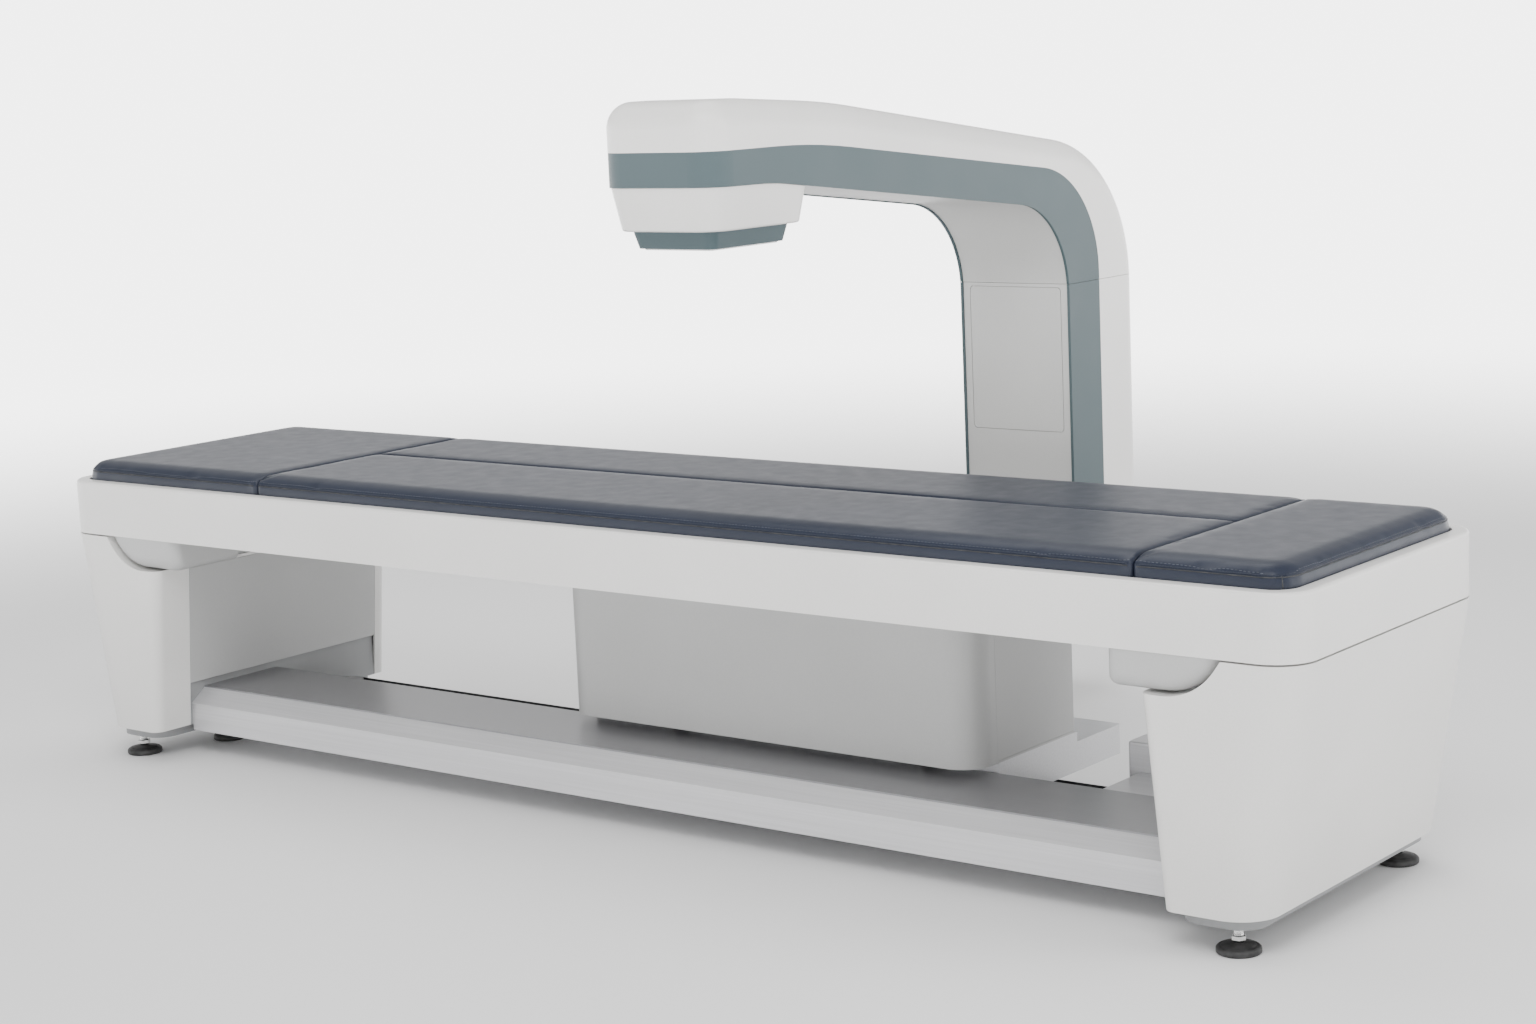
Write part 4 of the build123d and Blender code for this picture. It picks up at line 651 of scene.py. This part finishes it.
def relax(piece, rounds, low, high):
    """Even out the remesh's steps away from the seams, which stay crisp."""
    group = piece.vertex_groups.new(name="inside")
    for vertex in piece.data.vertices:
        gap = seam_distance(vertex.co.x, vertex.co.y, low, high)
        group.add([vertex.index], min(max(gap / VOXEL - 1.2, 0), 1), "REPLACE")
    modifier = piece.modifiers.new("relax", "SMOOTH")
    modifier.vertex_group = group.name
    modifier.factor = 0.5
    modifier.iterations = rounds
    apply_modifier(piece, modifier)
    piece.vertex_groups.clear()


def sweep(points, radius, sides=6, closed=False):
    """A round tube along points, with closed ends."""
    verts, faces = [], []
    count = len(points)
    for i, point in enumerate(points):
        before = points[i - 1] if i or closed else point
        after = points[(i + 1) % count] if i < count - 1 or closed else point
        tangent = (after - before).normalized()
        side = tangent.cross(Vector((0, 0, 1)))
        side = side.normalized() if side.length > 1e-4 else Vector((1, 0, 0))
        up = side.cross(tangent)
        for k in range(sides):
            angle = tau * k / sides
            verts.append(point + radius * (cos(angle) * side + sin(angle) * up))
    for i in range(count if closed else count - 1):
        for k in range(sides):
            a, b = i * sides, (i + 1) % count * sides
            faces.append((a + k, a + (k + 1) % sides, b + (k + 1) % sides, b + k))
    if not closed:
        faces.append(tuple(reversed(range(sides))))
        faces.append(tuple(range((count - 1) * sides, count * sides)))
    return verts, faces


def runs(items):
    """Split a list at its gaps."""
    run = []
    for item in items:
        if item is None:
            if len(run) > 2:
                yield run
            run = []
        else:
            run.append(item)
    if len(run) > 2:
        yield run


def outline_points(inset, step):
    low = (MATTRESS_LOW[0] + inset, MATTRESS_LOW[1] + inset)
    high = (MATTRESS_HIGH[0] - inset, MATTRESS_HIGH[1] - inset)
    return rounded_rectangle(low, high, (MATTRESS_CORNER - inset,) * 4, step)


def outward(x, y):
    """Unit vector that points out of the mattress's outline at a point."""
    small = 0.001
    slope_x = edge_distance(x - small, y) - edge_distance(x + small, y)
    slope_y = edge_distance(x, y - small) - edge_distance(x, y + small)
    return Vector((slope_x, slope_y, 0)).normalized()


def merge(parts):
    """Many small meshes as one list of vertices and faces."""
    verts, faces = [], []
    for part_verts, part_faces in parts:
        offset = len(verts)
        verts += part_verts
        faces += [tuple(offset + i for i in face) for face in part_faces]
    return verts, faces


def edge_trim(piece, node):
    """Edge seam and corner seams as near-black tubes that paint the shade in the seam crease,
    leather-coloured folds above them, and a row of stitches on a cushion's outer sides.
    """
    low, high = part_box(node)
    tree = BVHTree.FromObject(piece, bpy.context.evaluated_depsgraph_get())
    seam_height = MATTRESS_HIGH[2] - CAP_UP - SHOULDER_DROP - 0.001

    def own(x, y):
        """Whether a point of the outline is this cushion's, clear of its seams."""
        for value, k in ((x, 0), (y, 1)):
            least = low[k] + TRIM_MARGIN * (low[k] > MATTRESS_LOW[k])
            most = high[k] - TRIM_MARGIN * (high[k] < MATTRESS_HIGH[k])
            if not least <= value <= most:
                return False
        return True

    def side_line(height, out):
        hits = []
        for x, y in outline_points(0.0, 0.008):
            away = outward(x, y)
            hit = None
            if own(x, y):
                hit = tree.ray_cast(Vector((x, y, height)) + away * 0.05, -away)[0]
            hits.append(hit + away * out if hit is not None else None)
        return hits

    # The seam tubes are near-black: painted shade in the seam crease, under the leather-coloured fold.
    painted_seam_shade = [sweep(run, 0.0011) for run in runs(side_line(seam_height - 0.0015, 0.0001))]
    folds = [sweep(run, 0.0013) for run in runs(side_line(seam_height + 0.0016, 0.0))]
    # Corner seams get the same near-black tubes of painted crease shade.
    for corner_x in (MATTRESS_LOW[0], MATTRESS_HIGH[0]):
        for corner_y in (MATTRESS_LOW[1], MATTRESS_HIGH[1]):
            turn = MATTRESS_CORNER * (1 - cos(pi / 4))
            x = corner_x + turn * (1 if corner_x < 0 else -1)
            y = corner_y + turn * (1 if corner_y == MATTRESS_LOW[1] else -1)
            if not own(x, y):
                continue
            away = outward(x, y)
            heights = [low[2] + 0.006 + (seam_height - low[2] - 0.006) * i / 6 for i in range(7)]
            hits = [tree.ray_cast(Vector((x, y, z)) + away * 0.05, -away)[0] for z in heights]
            painted_seam_shade += [sweep(run, 0.0009) for run in runs(hits)]
    stitches = []
    places = outline_points(0.0065, STITCH_PITCH)
    for i, (x, y) in enumerate(places):
        if not own(x, y):
            continue
        following = places[(i + 1) % len(places)]
        hit, normal = tree.ray_cast(Vector((x, y, MATTRESS_HIGH[2] + 0.03)), Vector((0, 0, -1)))[:2]
        if hit is None:
            continue
        along = Vector((following[0] - x, following[1] - y, 0)).normalized()
        along = (along - normal * along.dot(normal)).normalized() * STITCH_LENGTH / 2
        lift = normal * 0.0001
        sink = normal * 0.0004
        line = [hit - along - sink, hit - along * 0.6 + lift, hit + along * 0.6 + lift, hit + along - sink]
        stitches.append(sweep(line, 0.00045, 5))
    kinds = (("seam", painted_seam_shade, "painted_crease_shade"), ("fold", folds, "leather"), ("stitch", stitches, "thread"))
    for kind, parts, material in kinds:
        if parts:
            verts, faces = merge(parts)
            add_piece(f"{node}_{kind}", verts, faces, material, "table", "leatherette")


def add_upholstery():
    for node in CUSHIONS:
        piece = add_cushion(node)
        edge_trim(piece, node)


# ------------------------------------------------------------------ levelling feet and inlet
PAD_PROFILE = (
    (0.0315, 0.0), (0.0335, 0.0006), (0.0348, 0.002), (0.035, 0.0035), (0.035, 0.0072), (0.0345, 0.0088),
    (0.0325, 0.0108), (0.029, 0.0124), (0.0285, 0.0121), (0.0275, 0.0121), (0.0265, 0.0131),
    (0.0215, 0.0143), (0.0165, 0.0153), (0.0135, 0.0158), (0.0122, 0.0159), (0.0115, 0.0163),
    (0.0095, 0.0163),
)
STEM_RADIUS = 0.008
STEM_LOW = 0.014
THREAD_ROOT = 0.0071
THREAD_LOW = 0.031
THREAD_PITCH = 0.002
NUT_RADIUS = 0.012
NUT_HEIGHTS = (0.02, 0.028)
PIN_PLACES = ((-0.006, -0.002), (0.006, -0.002), (0.0, 0.0025))
PIN_HALF = (0.0009, 0.002)
PIN_DEPTHS = ((-0.0202, 1.0), (-0.006, 1.0), (-0.0045, 0.55))


def stem_profile(height):
    """Profile of the plated stem: a smooth foot, then rounded thread turns up to its end."""
    stem = [(0.0078, STEM_LOW), (0.0078, THREAD_LOW - 0.0005)]
    z = THREAD_LOW
    while z < height - THREAD_PITCH:
        crest = [(STEM_RADIUS, z + THREAD_PITCH * 0.4), (STEM_RADIUS, z + THREAD_PITCH * 0.6)]
        stem += [(THREAD_ROOT, z), *crest]
        z += THREAD_PITCH
    return stem + [(0.0068, height - 0.001), (0.006, height)]


def hexagon(centre, radius, low, high):
    """Chamfered hexagon nut with a round top edge."""
    rings = [(radius * 0.93, low), (radius, low + 0.0008), (radius, high - 0.0012)]
    rings += [(radius * 0.9, high), (STEM_RADIUS, high)]
    return lathe(rings, centre, 6)


def add_foot(node):
    """Rubber pad, plated stem and hexagon in place of the plain foot."""
    low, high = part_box(node)
    centre = ((low[0] + high[0]) / 2, (low[1] + high[1]) / 2, low[2])
    pad = add_piece(node + "_pad", *lathe(PAD_PROFILE, centre, 56), "rubber", node, "foot_rubber")
    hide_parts(node)
    stem = lathe(stem_profile(high[2] - low[2]), centre, 28)
    add_piece(node + "_stem", *stem, "chrome", node, "rail_steel")
    nut = hexagon(centre, NUT_RADIUS, *NUT_HEIGHTS)
    add_piece(node + "_nut", *nut, "chrome", node, "rail_steel", smooth=False)


def add_inlet_pins():
    """Three rounded blades in the mains inlet."""
    low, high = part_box("mains_inlet")
    middle = Vector(((low[0] + high[0]) / 2, high[1], (low[2] + high[2]) / 2))
    blades = []
    a, b = PIN_HALF
    outline = [(a, -b), (a, b), (-a, b), (-a, -b)]
    for x, z in PIN_PLACES:
        verts, faces = [], []
        for depth, scale in PIN_DEPTHS:
            verts += [middle + Vector((x + u * scale, depth, z + v * scale)) for u, v in outline]
        for ring in (0, 4):
            for i in range(4):
                j = (i + 1) % 4
                faces.append((ring + i, ring + j, ring + 4 + j, ring + 4 + i))
        faces += [(3, 2, 1, 0), (8, 9, 10, 11)]
        blades.append((verts, faces))
    verts, faces = merge(blades)
    add_piece("inlet_pins", verts, faces, "chrome", "base", "rail_steel", smooth=False)


add_camera()
add_studio()
paint_nodes()
add_upholstery()
for foot in [name for name in NODES if name.startswith("foot_")]:
    add_foot(foot)
add_inlet_pins()
